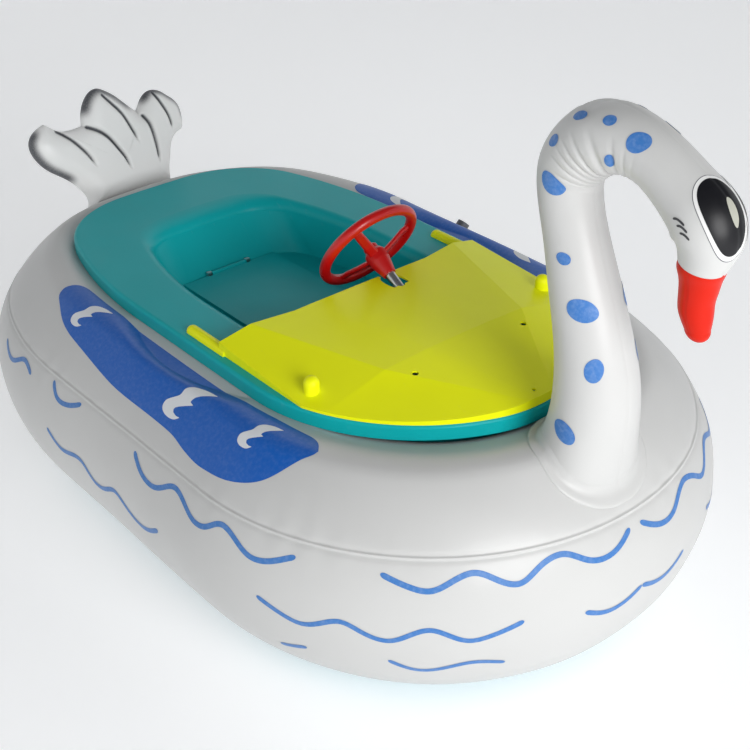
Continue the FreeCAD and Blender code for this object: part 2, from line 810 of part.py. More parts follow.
def cockpit_tub():
    """One moulding: deck flange with skirt, sloped backrest, bench, footwell, battery bay, thruster dome."""
    edge = rounding(rim, rim, s.rim_round, s.rim_round, 1)
    deck = tapered("deck_block", (rim, 0, rim_height - s.skirt_depth), *edge)
    under = slab(
        "deck_under", rim, s.tub_wall, rim_height - s.skirt_depth - s.overrun, rim_height - s.tub_wall
    )
    skin = -s.tub_wall
    seat_under = s.seat_height - s.tub_wall
    mouth = opening._replace(stern=opening.stern + s.lip_stern)
    upper = tapered(
        "upper_skin", (bench, s.seat_inset + skin, seat_under), (mouth, skin - s.lip_width, rim_height)
    )
    lower_foot = s.seat_inset + s.hull_draft
    lower = tapered("lower_skin", (bench, lower_foot + skin, 0), (bench, s.seat_inset + skin, seat_under))
    outside = fuse("tub_outside", cut("deck_shell", deck, under), upper, lower)
    well_solid = solid(
        "Cylinder", "dome", (s.stem_x, 0, 0),
        Radius=s.well_radius + s.tub_wall, Height=s.well_height + s.tub_wall,
    )
    lip = tapered("cockpit_lip", *rounding(opening, mouth, s.lip_width, s.lip_height, -1))
    lip.Ruled = False
    room = tapered(
        "cockpit_room", (bench, s.seat_inset, s.seat_height), (opening, 0, rim_height - s.lip_height)
    )
    lower_room = tapered(
        "lower_room", (bench, lower_foot, s.floor_height), (bench, s.seat_inset, s.seat_height)
    )
    lead_slot = solid(
        "Cylinder", "lead_hole", (s.seat_front - s.tub_wall - s.overrun, -s.lead_rail_y, lead_rail_z),
        Rotation(Vector(0, 1, 0), 90), Radius=s.lead_radius + s.seat_gap, Height=s.tub_wall + s.overrun * 2,
    )
    bulkhead = box(
        "bench_wall", (s.seat_front - s.tub_wall, -rim.half_width, 0),
        (s.seat_front, rim.half_width, s.seat_height + s.overrun),
    )
    bench_top = box(
        "bench_top", (-rim.stern, -rim.half_width, seat_under),
        (s.seat_front, rim.half_width, s.seat_height + s.overrun),
    )
    hollow = cut("lower_hollow", lower_room, bulkhead, bench_top)
    hatch = box(
        "hatch", (s.hatch_back, -s.hatch_half_width, seat_under - s.overrun),
        (s.hatch_back + s.hatch_length, s.hatch_half_width, s.seat_height + s.overrun),
    )
    shell = cut("tub_shell", outside, room, lip, hollow, hatch)
    well = solid(
        "Cylinder", "well", (s.stem_x, 0, -s.overrun), Radius=s.well_radius, Height=s.well_height + s.overrun
    )
    stem_hole = solid(
        "Cylinder", "stem_hole", (s.stem_x, 0, s.well_height - s.overrun),
        Radius=s.stem_radius + s.bush_wall, Height=s.tub_wall + s.overrun * 2,
    )
    drain_hole = solid(
        "Cylinder", "drain_hole", (s.drain_x, s.drain_y, -s.overrun),
        Radius=s.drain_radius + s.fit_gap, Height=s.floor_height + s.overrun * 2,
    )
    holes = [
        solid(
            "Cylinder", f"deck_hole_{number}", (x, y, rim_height - s.tub_wall - s.overrun),
            Radius=s.screw_radius + s.fit_gap, Height=s.tub_wall + s.overrun * 2,
        )
        for number, (x, y) in enumerate(screw_places())
    ]
    moulded = fuse("tub_moulded", shell, well_solid)
    keep("cockpit_tub", cut("tub_shape", moulded, well, stem_hole, drain_hole, lead_slot, *holes))


def seat_lid():
    """Hatch lid in the bench: it rests in its opening on a lip all round."""
    gap = s.hatch_gap
    top = box(
        "lid_top", (s.hatch_back - s.lid_lip, -s.hatch_half_width - s.lid_lip, s.seat_height),
        (
            s.hatch_back + s.hatch_length + s.lid_lip, s.hatch_half_width + s.lid_lip,
            s.seat_height + s.lid_thickness,
        ),
    )
    plug = box(
        "lid_plug", (s.hatch_back + gap, -s.hatch_half_width + gap, s.seat_height - s.tub_wall),
        (s.hatch_back + s.hatch_length - gap, s.hatch_half_width - gap, s.seat_height),
    )
    along = Rotation(Vector(1, 0, 0), -90)
    half = s.hinge_half_length
    barrel = solid(
        "Cylinder", "lid_barrel", (s.hinge_x, -half, hinge_z), along,
        Radius=s.hinge_barrel_radius, Height=half * 2,
    )
    bore = solid(
        "Cylinder", "lid_bore", (s.hinge_x, -half * 2, hinge_z), along,
        Radius=s.hinge_pin_radius + s.running_gap, Height=half * 4,
    )
    ends = half + s.seat_gap + s.hinge_bracket
    notches = [
        box(
            f"lid_notch_{number}", (s.hinge_x - s.hinge_barrel_radius * 2, low, s.seat_height - s.overrun),
            (
                s.hinge_x + s.hinge_barrel_radius + s.hatch_gap, low + s.hinge_bracket + s.seat_gap * 2,
                hinge_z + s.hinge_barrel_radius * 2,
            ),
        )
        for number, low in enumerate((half, -ends - s.seat_gap))
    ]
    keep("seat_lid", cut("lid_shape", fuse("lid_solid", top, plug, barrel), bore, *notches))
    hinge = [solid(
        "Cylinder", "hinge_pin", (s.hinge_x, -ends, hinge_z), along,
        Radius=s.hinge_pin_radius, Height=ends * 2,
    )]
    for number, side in enumerate((1, -1)):
        low = half + s.seat_gap if side > 0 else -ends
        hinge.append(box(
            f"hinge_bracket_{number}", (s.hinge_x - s.hinge_barrel_radius, low, s.seat_height),
            (s.hinge_x + s.hinge_barrel_radius / 2, low + s.hinge_bracket, hinge_z + s.hinge_barrel_radius),
        ))
    keep("lid_hinge", fuse("hinge_shape", *hinge))


def screw_places():
    """Places of the hood's screws: they come up through the deck into the lugs."""
    back_x = s.lug_end_x + s.lug_radius
    return [(x, side * y) for x, y in ((back_x, lug_y), (s.front_lug_x, front_lug_y)) for side in (1, -1)]


def roof(name, drop, reach):
    """Creased roof of the hood, ruled through three sections; drop lowers it for the inside."""
    stations = [
        (s.seat_front, s.hood_back_edge, s.hood_back_crease_y, s.hood_back_crease,
         s.hood_back_ridge_y, s.hood_back_ridge),
        (s.hood_mid_x, s.hood_mid_edge, s.hood_mid_crease_y, s.hood_mid_crease,
         s.hood_mid_ridge_y, s.hood_mid_ridge),
        (s.hood_nose_x, s.hood_nose_edge, s.hood_nose_crease_y, s.hood_nose_crease,
         s.hood_nose_ridge_y, s.hood_nose_ridge),
    ]
    sections = []
    for number, (x, edge, crease_y, crease, ridge_y, ridge) in enumerate(stations):
        low = rim_height - s.skirt_depth - drop
        edge, crease, ridge = [rim_height + height - drop for height in (edge, crease, ridge)]
        sketch = doc.addObject("Sketcher::SketchObject", f"{name}_{number}")
        draw(sketch, [
            (reach, low), (reach, edge), (crease_y, crease), (ridge_y, ridge),
            (-ridge_y, ridge), (-crease_y, crease), (-reach, edge), (-reach, low),
        ])
        turn = Rotation(Vector(1, 1, 1), 120)
        sections.append(put(sketch, (x, 0, 0), turn))
    feature = doc.addObject("Part::Loft", name)
    feature.Sections = sections
    feature.Solid = True
    feature.Ruled = True
    return feature


def hood_sides(name, wall, low):
    """Blocks beside the hood's straight sides, from its back to where it meets the deck's edge."""
    return [
        box(
            f"{name}_{number}", (s.seat_front, start, low - s.overrun * 2),
            (s.hood_side_end + wall, start + hood_side_y, low + s.skirt_depth * 3),
        )
        for number, start in enumerate((hood_side_y - wall, wall - hood_side_y * 2))
    ]


def hood():
    """Creased cover over the bow with a lug at each corner and one on each side."""
    low = rim_height + s.seat_gap
    outer = cut(
        "hood_outer",
        common(
            "hood_full", slab("hood_block", rim, s.hood_inset, low, low + s.skirt_depth * 2),
            roof("hood_roof", as_size(0), hood_reach_y),
        ),
        *hood_sides("side_strip", as_size(0), low),
    )
    gussets = [
        box(
            f"gusset_{number}", (s.seat_front, low_y, low - s.overrun * 2),
            (s.hood_corner_x + s.lug_radius * 2, low_y + s.lug_radius * 5, low + s.skirt_depth * 2),
        )
        for number, low_y in enumerate((lug_y - s.lug_radius, -lug_y - s.lug_radius * 4))
    ]
    core = common(
        "hood_inner",
        slab("hood_core", rim, s.hood_inset + s.hood_wall, low - s.overrun, low + s.skirt_depth * 2),
        roof("hood_ceiling", s.hood_wall, hood_reach_y),
    )
    inner = cut("hood_hollow", core, *gussets, *hood_sides("side_wall", s.hood_wall, low))
    behind = doc.addObject("Part::Extrusion", "hood_behind")
    behind.Base = doc.addObject("Sketcher::SketchObject", "hood_rear_edge")
    draw(behind.Base, [
        (-rim.stern, -hood_reach_y), (s.hood_corner_x, -hood_reach_y),
        (s.hood_corner_x, -hood_corner_y), (s.hood_back_x, -s.hood_back_y),
        (s.hood_back_x, s.hood_back_y), (s.hood_corner_x, hood_corner_y),
        (s.hood_corner_x, hood_reach_y), (-rim.stern, hood_reach_y),
    ])
    put(behind.Base, (0, 0, low - s.overrun))
    behind.DirMode = "Custom"
    behind.Dir = Vector(0, 0, 1)
    behind.Solid = True
    bind(behind, "LengthFwd", s.skirt_depth * 3)
    shell = cut("hood_shell", outer, inner, behind)
    lugs = []
    lug_z = low
    for number, side in enumerate((1, -1)):
        lugs.append(solid(
            "Cylinder", f"lug_{number}", (s.lug_end_x + s.lug_radius, side * lug_y, lug_z),
            Rotation(Vector(0, 1, 0), 90), Radius=s.lug_radius, Height=s.lug_length,
        ))
        lugs.append(solid(
            "Sphere", f"lug_end_{number}", (s.lug_end_x + s.lug_radius, side * lug_y, lug_z),
            Radius=s.lug_radius,
        ))
        lugs.append(solid(
            "Cylinder", f"front_lug_{number}", (s.front_lug_x, side * front_lug_y, low),
            Radius=s.front_lug_radius, Height=s.front_lug_rise,
        ))
        lugs.append(solid(
            "Sphere", f"front_lug_end_{number}", (s.front_lug_x, side * front_lug_y, low + s.front_lug_rise),
            Radius=s.front_lug_radius,
        ))
    below = box(
        "hood_below", (-rim.stern, -hood_reach_y, low - s.skirt_depth * 2),
        (s.hood_nose_x, hood_reach_y, low),
    )
    holes = [
        solid(
            "Cylinder", f"lug_hole_{number}", (x, y, low - s.overrun),
            Radius=s.screw_radius + s.fit_gap, Height=s.overrun + s.screw_rise + s.seat_gap,
        )
        for number, (x, y) in enumerate(screw_places())
    ]
    vents = [(s.vent_x, side * s.vent_y, s.vent_radius) for side in (1, -1)]
    vents.append((s.nose_vent_x, 0, s.nose_vent_radius))
    for number, (x, y, radius) in enumerate(vents):
        holes.append(solid(
            "Cylinder", f"vent_{number}", (x, y, low - s.overrun), Radius=radius, Height=s.skirt_depth * 3
        ))
    notch = solid(
        "Cylinder", "column_notch", on_column(s.wheel_dish),
        COLUMN_TURN, Radius=s.notch_radius, Height=s.hub_length + s.hub_radius,
    )
    shaft_room = solid(
        "Cylinder", "shaft_room", on_column(s.wheel_dish), COLUMN_TURN,
        Radius=s.column_radius + s.hood_wall, Height=apex_run,
    )
    keep("hood", cut("hood_shape", fuse("hood_lugged", shell, *lugs), below, notch, shaft_room, *holes))


def hood_screws():
    """Screws that come up through the deck into the hood's four lugs, their heads under it."""
    under = rim_height - s.tub_wall
    screws = []
    for number, (x, y) in enumerate(screw_places()):
        screws.append(solid(
            "Cylinder", f"screw_{number}", (x, y, under), Radius=s.screw_radius,
            Height=s.tub_wall + s.screw_rise,
        ))
        screws.append(solid(
            "Cylinder", f"screw_head_{number}", (x, y, under - s.screw_head_height),
            Radius=s.screw_head_radius, Height=s.screw_head_height,
        ))
    keep("hood_screws", fuse("screws_shape", *screws))


def steering_wheel():
    """Dished wheel: round grip, three spokes sweeping down to a hub with a bore for the column."""
    centre = (s.wheel_x, s.gear_spacing, wheel_z)
    middle, grip_radius = s.wheel_ring_radius, s.wheel_grip_radius
    grip = turned("grip", [
        (middle + grip_radius, 0, grip_radius, 1), (middle, grip_radius, grip_radius, 1),
        (middle - grip_radius, 0, grip_radius, 1), (middle, -grip_radius, grip_radius, 1),
    ], centre, COLUMN_TURN)
    hub_start = s.wheel_dish - s.hub_face
    hub_end = s.wheel_dish + s.hub_length - s.hub_face
    bore = s.column_neck_radius + s.fit_gap
    hub = turned("wheel_hub", [
        (bore, hub_start), (s.hub_radius - s.hub_face / 3, hub_start),
        (s.hub_radius, hub_start + s.hub_face / 2), (s.hub_radius, s.wheel_dish + s.hub_face),
        (s.hub_end_radius, hub_end), (bore, hub_end),
    ], centre, COLUMN_TURN)
    spokes = []
    count = int(s.spoke_count.value)
    inner = s.hub_radius.value * 0.75
    spoke_shares = [(0.0, 1.0, 1.0), (0.35, 0.62, 0.9), (0.7, 0.2, 0.85), (1.0, 0.0, 0.8)]
    outline_shares = [(1, 0.4), (0.7, 1), (-0.7, 1), (-1, 0.4), (-1, -0.4), (-0.7, -1), (0.7, -1), (1, -0.4)]
    for number in range(count):
        spin = Rotation(Vector(0, 0, 1), s.spoke_turn.value + number * 360 / count)
        wires = []
        for run_share, dish_share, width_share in spoke_shares:
            run = inner + (s.wheel_ring_radius.value - inner) * run_share
            points = [
                Vector(run, a * s.spoke_half_width.value * width_share,
                       s.wheel_dish.value * dish_share + b * s.spoke_radius.value / 2)
                for a, b in outline_shares
            ]
            wires.append(Part.makePolygon(points + points[:1]))
        feature = doc.addObject("Part::Feature", f"spoke_{number}")
        feature.Shape = Part.makeLoft(wires, True, True)
        spokes.append(put(feature, centre, COLUMN_TURN.multiply(spin)))
    whole = hub
    for number, part in enumerate(spokes + [grip]):
        whole = fuse(f"wheel_with_{number}", whole, part)
        whole.Refine = False
    keep("steering_wheel", whole)


def wheel_fixings():
    """Lock nut on the column's threaded end, under a round centre cap."""
    centre = (s.wheel_x, s.gear_spacing, wheel_z)
    face = s.wheel_dish - s.hub_face
    nut_height = s.column_neck_radius
    bore = s.column_neck_radius + s.fit_gap
    keep("wheel_nut", turned("wheel_nut", ring_outline(
        bore, s.column_neck_radius * 1.7, face - nut_height, face), centre, COLUMN_TURN))
    cap_in = s.column_neck_radius * 1.7 + s.fit_gap * 5
    cap_out = cap_in + s.hood_wall
    cap_top = face - nut_height * 2.2
    keep("wheel_cap", turned("wheel_cap", [
        (0, cap_top), (cap_out - s.hood_wall, cap_top), (cap_out, cap_top + s.hood_wall), (cap_out, face),
        (cap_in, face), (cap_in, cap_top + s.hood_wall), (0, cap_top + s.hood_wall),
    ], centre, COLUMN_TURN))


def steering_column():
    """Shaft from the wheel's nut to past the pinion, with a neck for the hub."""
    centre = (s.wheel_x, s.gear_spacing, wheel_z)
    neck_top = s.wheel_dish - s.hub_face - s.column_neck_radius * 1.5
    shoulder = s.wheel_dish + s.hub_length - s.hub_face
    end = apex_run + s.bevel_hub_end + s.bush_length + s.hub_face
    keep("steering_column", turned("column", [
        (0, neck_top), (s.column_neck_radius, neck_top), (s.column_neck_radius, shoulder),
        (s.column_radius, shoulder), (s.column_radius, end), (0, end),
    ], centre, COLUMN_TURN))


def bush_start(x):
    """Distance along the column of a bush centred on the upright at x."""
    return (x - s.wheel_x) / forward - s.bush_length / 2


def column_bushes():
    centre = (s.wheel_x, s.gear_spacing, wheel_z)
    bore = s.column_radius + s.running_gap
    for label, x in (("rear_column_bush", s.frame_back_x), ("front_column_bush", s.frame_front_x)):
        start = bush_start(x)
        keep(label, turned(label, ring_outline(
            bore, s.column_radius + s.bush_wall, start, start + s.bush_length), centre, COLUMN_TURN))


# Half widths of a spur tooth from below its root to its tip, as shares of that at the pitch line
TOOTH_WIDTH_SHARES = [1.55, 1.45, 1, 0.6, 0.42]
# The same for a bevel tooth, with the rise of each place as a share of the module
BEVEL_TOOTH_SHARES = [(-1.6, 1.6), (-1.25, 1.45), (0, 1), (0.75, 0.6), (1, 0.42)]
DEDENDUM_SHARE = 1.25


def spur_tooth(pitch, root_radius):
    """Outline of one spur tooth about the sketch's X axis, from below the root to the tip."""
    half = (s.gear_module * math.pi / 2 - s.gear_backlash) / 2
    tip = pitch + s.gear_module
    radii = [root_radius - s.gear_module / 2, root_radius, pitch, tip - s.gear_module / 4, tip]
    one = [(radius, -half * share) for radius, share in zip(radii, TOOTH_WIDTH_SHARES)]
    other = [(radius, half * share) for radius, share in zip(radii, TOOTH_WIDTH_SHARES)]
    return one + other[::-1]


def spur_gear(label, at, bore, start_turn):
    """Straight-toothed gear: a blank, one tooth and a polar pattern of it."""
    pitch = s.gear_module * s.gear_teeth / 2
    root_radius = pitch - s.gear_module * DEDENDUM_SHARE
    body = doc.addObject("PartDesign::Body", f"{label}_body")
    blank = body.newObject("PartDesign::Revolution", f"{label}_blank")
    outline = ring_outline(bore, root_radius, 0, s.spur_width)
    sketch = body_sketch(body, "XZ_Plane", f"{label}_blank_outline", outline)
    blank.Profile = sketch
    blank.ReferenceAxis = (sketch, ["V_Axis"])
    blank.Angle = 360
    tooth = body_sketch(body, "XY_Plane", f"{label}_tooth_outline", spur_tooth(pitch, root_radius))
    pad = body.newObject("PartDesign::Pad", f"{label}_tooth")
    pad.Profile = tooth
    bind(pad, "Length", s.spur_width)
    pattern = body.newObject("PartDesign::PolarPattern", f"{label}_teeth")
    pattern.Originals = [pad]
    pattern.Axis = (sketch, ["V_Axis"])
    pattern.Angle = 360
    bind(pattern, "Occurrences", s.gear_teeth)
    body.Tip = pattern
    keep(label, put(body, at, Rotation(Vector(0, 0, 1), start_turn)))


def bevel_shape(bore, hub_end, start_turn):
    """Bevel gear about +Z with the cones' apex at the origin: blank plus teeth scaled towards the apex."""
    cone = (90 - s.column_tilt.value) / 2
    sin, cos = math.sin(math.radians(cone)), math.cos(math.radians(cone))
    module, teeth = s.gear_module.value, int(s.gear_teeth.value)
    pitch = module * teeth / 2
    height = pitch * cos / sin
    slant = pitch / sin
    inner = (slant - s.bevel_face.value) / slant

    def at(rise, aside=0.0, scale=1.0):
        """A point in the plane square to the pitch line at the large end."""
        return Vector(pitch + rise * cos, aside, height - rise * sin) * scale

    foot = at(-DEDENDUM_SHARE * module)
    hub = s.bevel_hub_radius.value
    bore = float(bore)
    end = float(hub_end)
    outline = [
        Vector(bore, 0, foot.z * inner - module / 2), Vector(foot.x * inner, 0, foot.z * inner - module / 2),
        foot * inner, foot, Vector(foot.x - module / 2, 0, foot.z + module),
        Vector(hub, 0, foot.z + module + module / 2), Vector(hub, 0, end), Vector(bore, 0, end),
    ]
    wire = Part.makePolygon(outline + outline[:1])
    blank = Part.Face(wire).revolve(Vector(0, 0, 0), Vector(0, 0, 1), 360)
    half = (math.pi * module / 2 - s.gear_backlash.value) / 2
    one = [(module * rise_share, -half * width_share) for rise_share, width_share in BEVEL_TOOTH_SHARES]
    sides = one + [(rise, -aside) for rise, aside in one[::-1]]
    ends = []
    for scale in (inner, 1.0):
        points = [at(rise, aside, scale) for rise, aside in sides]
        ends.append(Part.makePolygon(points + points[:1]))
    tooth = Part.makeLoft(ends, True, True)
    shape = blank
    turned_teeth = []
    for number in range(teeth):
        copy = tooth.copy()
        copy.rotate(Vector(0, 0, 0), Vector(0, 0, 1), start_turn + number * 360 / teeth)
        turned_teeth.append(copy)
    return shape.fuse(turned_teeth).removeSplitter()


def bevel_pair():
    """Pinion on the column and its mate on the idler post: equal bevels whose apexes meet."""
    apex = (s.stem_x, s.gear_spacing, apex_height)
    half_step = 180 / s.gear_teeth.value
    pinion = doc.addObject("Part::Feature", "pinion_shape")
    pinion.Shape = bevel_shape(s.column_radius + s.fit_gap, s.bevel_hub_end, 0)
    keep("column_pinion", put(pinion, apex, COLUMN_TURN))
    mate = doc.addObject("Part::Feature", "bevel_shape")
    mate.Shape = bevel_shape(idler_bore(), s.bevel_hub_end, half_step)
    keep("idler_bevel", put(mate, apex, Rotation(Vector(0, 1, 0), 180)))


def idler_bore():
    return s.post_radius + s.bush_wall + s.running_gap + s.fit_gap


def spur_level():
    return apex_height - s.bevel_hub_end - s.spur_width


def idler():
    """Fixed post on the gear frame with a bush on which the bevel and the spur gear turn together."""
    x, y = s.stem_x, s.gear_spacing
    low = s.well_height + s.tub_wall
    shelf = spur_level() - s.spur_drop
    nut = apex_height - s.idler_nut_drop
    top = nut + s.idler_nut_height + s.bush_wall
    keep("idler_post", turned("idler_post", [
        (0, low + s.frame_plate), (s.bevel_hub_radius, low + s.frame_plate), (s.bevel_hub_radius, shelf),
        (s.post_radius, shelf), (s.post_radius, top), (0, top),
    ], (x, y, 0)))
    keep("idler_bush", turned("idler_bush", ring_outline(
        s.post_radius + s.running_gap, s.post_radius + s.running_gap + s.bush_wall,
        shelf + s.running_gap, nut - s.running_gap), (x, y, 0)))
    keep("idler_nut", turned("idler_nut", ring_outline(
        s.post_radius + s.fit_gap, s.idler_nut_radius, nut, nut + s.idler_nut_height), (x, y, 0)))
    spur_gear("idler_gear", (x, y, spur_level()), idler_bore(), -90 + 180 / s.gear_teeth.value)


def stem_parts():
    """Thruster stem in its bearing housing, with the driven gear and lock nut on top."""
    x = s.stem_x
    dome = s.well_height + s.tub_wall
    gear = spur_level()
    housing_top = gear - s.housing_drop
    stem_bottom = s.leg_top
    nut_top = gear + s.spur_width + s.stem_radius
    bore = s.stem_radius - s.bush_wall
    keep("thruster_stem", turned("thruster_stem", [
        (bore, stem_bottom), (s.collar_radius, stem_bottom), (s.collar_radius, stem_bottom + s.tub_wall),
        (s.stem_radius, stem_bottom + s.tub_wall), (s.stem_radius, housing_top + s.running_gap),
        (s.collar_radius, housing_top + s.running_gap), (s.collar_radius, gear), (s.stem_radius, gear),
        (s.stem_radius, nut_top + s.bush_wall), (bore, nut_top + s.bush_wall),
    ], (x, 0, 0)))
    spur_gear("stem_gear", (x, 0, gear), s.stem_radius + s.fit_gap, 90)
    nut_radius = s.stem_radius + s.bush_wall * 5 / 2
    nut = ring_outline(s.stem_radius + s.fit_gap, nut_radius, gear + s.spur_width, nut_top)
    keep("stem_nut", turned("stem_nut", nut, (x, 0, 0)))
    outer = s.stem_radius + s.bush_wall
    plate = dome + s.frame_plate
    spigot = s.well_height
    flange_top = plate + s.housing_flange
    keep("stem_housing", turned("stem_housing", [
        (outer + s.fit_gap, plate), (s.housing_flange_radius, plate), (s.housing_flange_radius, flange_top),
        (s.housing_radius, flange_top), (s.housing_radius, housing_top), (outer + s.fit_gap, housing_top),
    ], (x, 0, 0)))
    bushes = [
        turned(f"stem_bush_{number}", ring_outline(
            s.stem_radius + s.running_gap, outer, low, low + s.bush_length), (x, 0, 0))
        for number, low in enumerate((plate, housing_top - s.bush_length))
    ]
    keep("stem_bushes", fuse("stem_bushes_shape", *bushes))
    bolts = []
    for number in range(4):
        angle = 45 + number * 90
        spot = (x + s.housing_bolt_circle * cosine(angle), s.housing_bolt_circle * sine(angle), flange_top)
        bolts.append(solid(
            "Prism", f"housing_bolt_{number}", spot, Polygon=6, Circumradius=s.housing_bolt_radius * 2,
            Height=s.housing_bolt_radius * 1.4,
        ))
    keep("housing_bolts", fuse("housing_bolts_shape", *bolts))
    keep("stem_seal", turned("stem_seal", ring_outline(
        s.stem_radius + s.running_gap, outer - s.fit_gap, spigot, plate - s.seat_gap), (x, 0, 0)))


def gear_frame():
    """Cast frame on the dome: foot plate, two uprights with tilted bosses for the column's bushes."""
    low = s.well_height + s.tub_wall
    plate = box(
        "frame_plate_block", (s.frame_back_x - s.upright_thickness, -s.frame_low_y, low),
        (s.frame_front_x + s.upright_thickness, s.gear_spacing + s.upright_half_width, low + s.frame_plate),
    )
    solids = [plate]
    tools = []
    for number, x in enumerate((s.frame_back_x, s.frame_front_x)):
        axis_z = on_column((x - s.wheel_x) / forward)[2]
        solids.append(box(
            f"upright_{number}", (x - s.upright_thickness / 2, s.gear_spacing - s.upright_half_width, low),
            (x + s.upright_thickness / 2, s.gear_spacing + s.upright_half_width, axis_z),
        ))
        solids.append(solid(
            "Cylinder", f"boss_{number}", on_column(bush_start(x)), COLUMN_TURN,
            Radius=s.boss_radius, Height=s.bush_length,
        ))
        tools.append(solid(
            "Cylinder", f"boss_bore_{number}", on_column(bush_start(x) - s.overrun), COLUMN_TURN,
            Radius=s.column_radius + s.bush_wall + s.fit_gap, Height=s.bush_length + s.overrun * 2,
        ))
    tools.append(solid(
        "Cylinder", "frame_bore", (s.stem_x, 0, low - s.overrun),
        Radius=s.stem_radius + s.bush_wall + s.fit_gap, Height=s.frame_plate + s.overrun * 2,
    ))
    for number, (x, y) in enumerate(bolt_places()):
        tools.append(solid(
            "Cylinder", f"frame_hole_{number}", (x, y, low - s.overrun),
            Radius=s.frame_bolt_radius + s.fit_gap, Height=s.frame_plate + s.overrun * 2,
        ))
    keep("gear_frame", cut("frame_shape", fuse("frame_solid", *solids), *tools))


def bolt_places():
    """Bolts through the foot plate, clear of the housing's flange."""
    return [
        (s.frame_back_x + s.upright_thickness * 1.5, -s.frame_low_y + s.upright_thickness * 1.5),
        (s.frame_front_x - s.upright_thickness * 1.5, -s.frame_low_y + s.upright_thickness * 1.5),
        (s.frame_front_x - s.upright_thickness * 2, s.gear_spacing + s.upright_thickness),
        (s.frame_back_x + s.upright_thickness * 2, s.gear_spacing + s.upright_thickness),
    ]


def frame_bolts():
    """Hexagon bolts that hold the gear frame on the dome."""
    top = s.well_height + s.tub_wall + s.frame_plate
    bolts = []
    for number, (x, y) in enumerate(bolt_places()):
        bolts.append(solid(
            "Prism", f"bolt_head_{number}", (x, y, top), Polygon=6, Circumradius=s.frame_bolt_radius * 2,
            Height=s.frame_bolt_radius * 1.4,
        ))
        bolts.append(solid(
            "Cylinder", f"bolt_{number}", (x, y, top - s.frame_plate), Radius=s.frame_bolt_radius,
            Height=s.frame_plate,
        ))
    keep("frame_bolts", fuse("bolts_shape", *bolts))


# The pod's nose: shares of the pod's radius and of the nose's length, from the axis round to the tip
NOSE_SHARES = [(0, 0), (1, 0), (0.94, 0.3), (0.76, 0.6), (0.42, 0.9), (0, 1)]


def thruster():
    """Leg and pod that hang from the stem, with the motor inside and the propeller in a guard."""
    x, z = s.stem_x, s.pod_height
    lie = Rotation(Vector(0, 1, 0), 90)
    at = (x, 0, z)
    pod_in = s.pod_radius - s.pod_wall
    tail_z = s.pod_back - s.pod_radius / 4
    shaft_bore = s.prop_shaft_radius + s.running_gap
    keep("pod_housing", turned("pod_housing", [
        (s.prop_hub_radius, tail_z), (s.pod_radius - s.pod_radius / 4, tail_z), (s.pod_radius, s.pod_back),
        (s.pod_radius, s.pod_front), (pod_in, s.pod_front), (pod_in, s.pod_back),
        (s.prop_hub_radius, s.pod_back),
    ], at, lie))
    keep("pod_nose", turned("pod_nose", [
        (s.pod_radius * width_share, s.pod_front + s.nose_length * share)
        for width_share, share in NOSE_SHARES
    ], at, lie))
    core = ring_outline(shaft_bore, pod_in - s.fit_gap, s.pod_back + s.guard_wall, s.pod_front - s.guard_wall)
    keep("motor_core", turned("motor_core", core, at, lie))
    keep("shaft_seal", turned("shaft_seal", ring_outline(
        shaft_bore, s.prop_hub_radius - s.fit_gap, tail_z, s.pod_back + s.guard_wall), at, lie))
    prop_end = s.prop_x - s.prop_hub_length / 2
    keep("propeller_shaft", turned("prop_shaft", [
        (0, prop_end - s.prop_shaft_radius * 2), (s.prop_shaft_radius, prop_end - s.prop_shaft_radius * 2),
        (s.prop_shaft_radius, s.pod_front - s.prop_hub_radius), (0, s.pod_front - s.prop_hub_radius),
    ], at, lie))
    keep("propeller_nut", turned("prop_nut", [
        (s.prop_shaft_radius + s.fit_gap, prop_end - s.prop_shaft_radius * 1.6),
        (s.prop_shaft_radius * 1.6, prop_end - s.prop_shaft_radius * 1.6),
        (s.prop_shaft_radius * 1.9, prop_end), (s.prop_shaft_radius + s.fit_gap, prop_end),
    ], at, lie))
    leg = doc.addObject("Part::Feature", "leg_block")
    long, wide = s.leg_half_length.value, s.leg_half_width.value
    section = [
        Part.Arc(Vector(-long, 0, 0), Vector(0, wide, 0), Vector(long, 0, 0)).toShape(),
        Part.Arc(Vector(long, 0, 0), Vector(0, -wide, 0), Vector(-long, 0, 0)).toShape(),
    ]
    rise = s.leg_top.value - s.pod_height.value
    leg.Shape = Part.Face(Part.Wire(section)).extrude(Vector(0, 0, rise))
    put(leg, at)
    pod_room = solid(
        "Cylinder", "pod_room", (x - rim.half_width / 2, 0, z), lie, Radius=s.pod_radius + s.fit_gap,
        Height=rim.half_width,
    )
    keep("thruster_leg", cut("leg_shape", leg, pod_room))
    propeller(at, lie, shaft_bore)
    guard(at, lie)


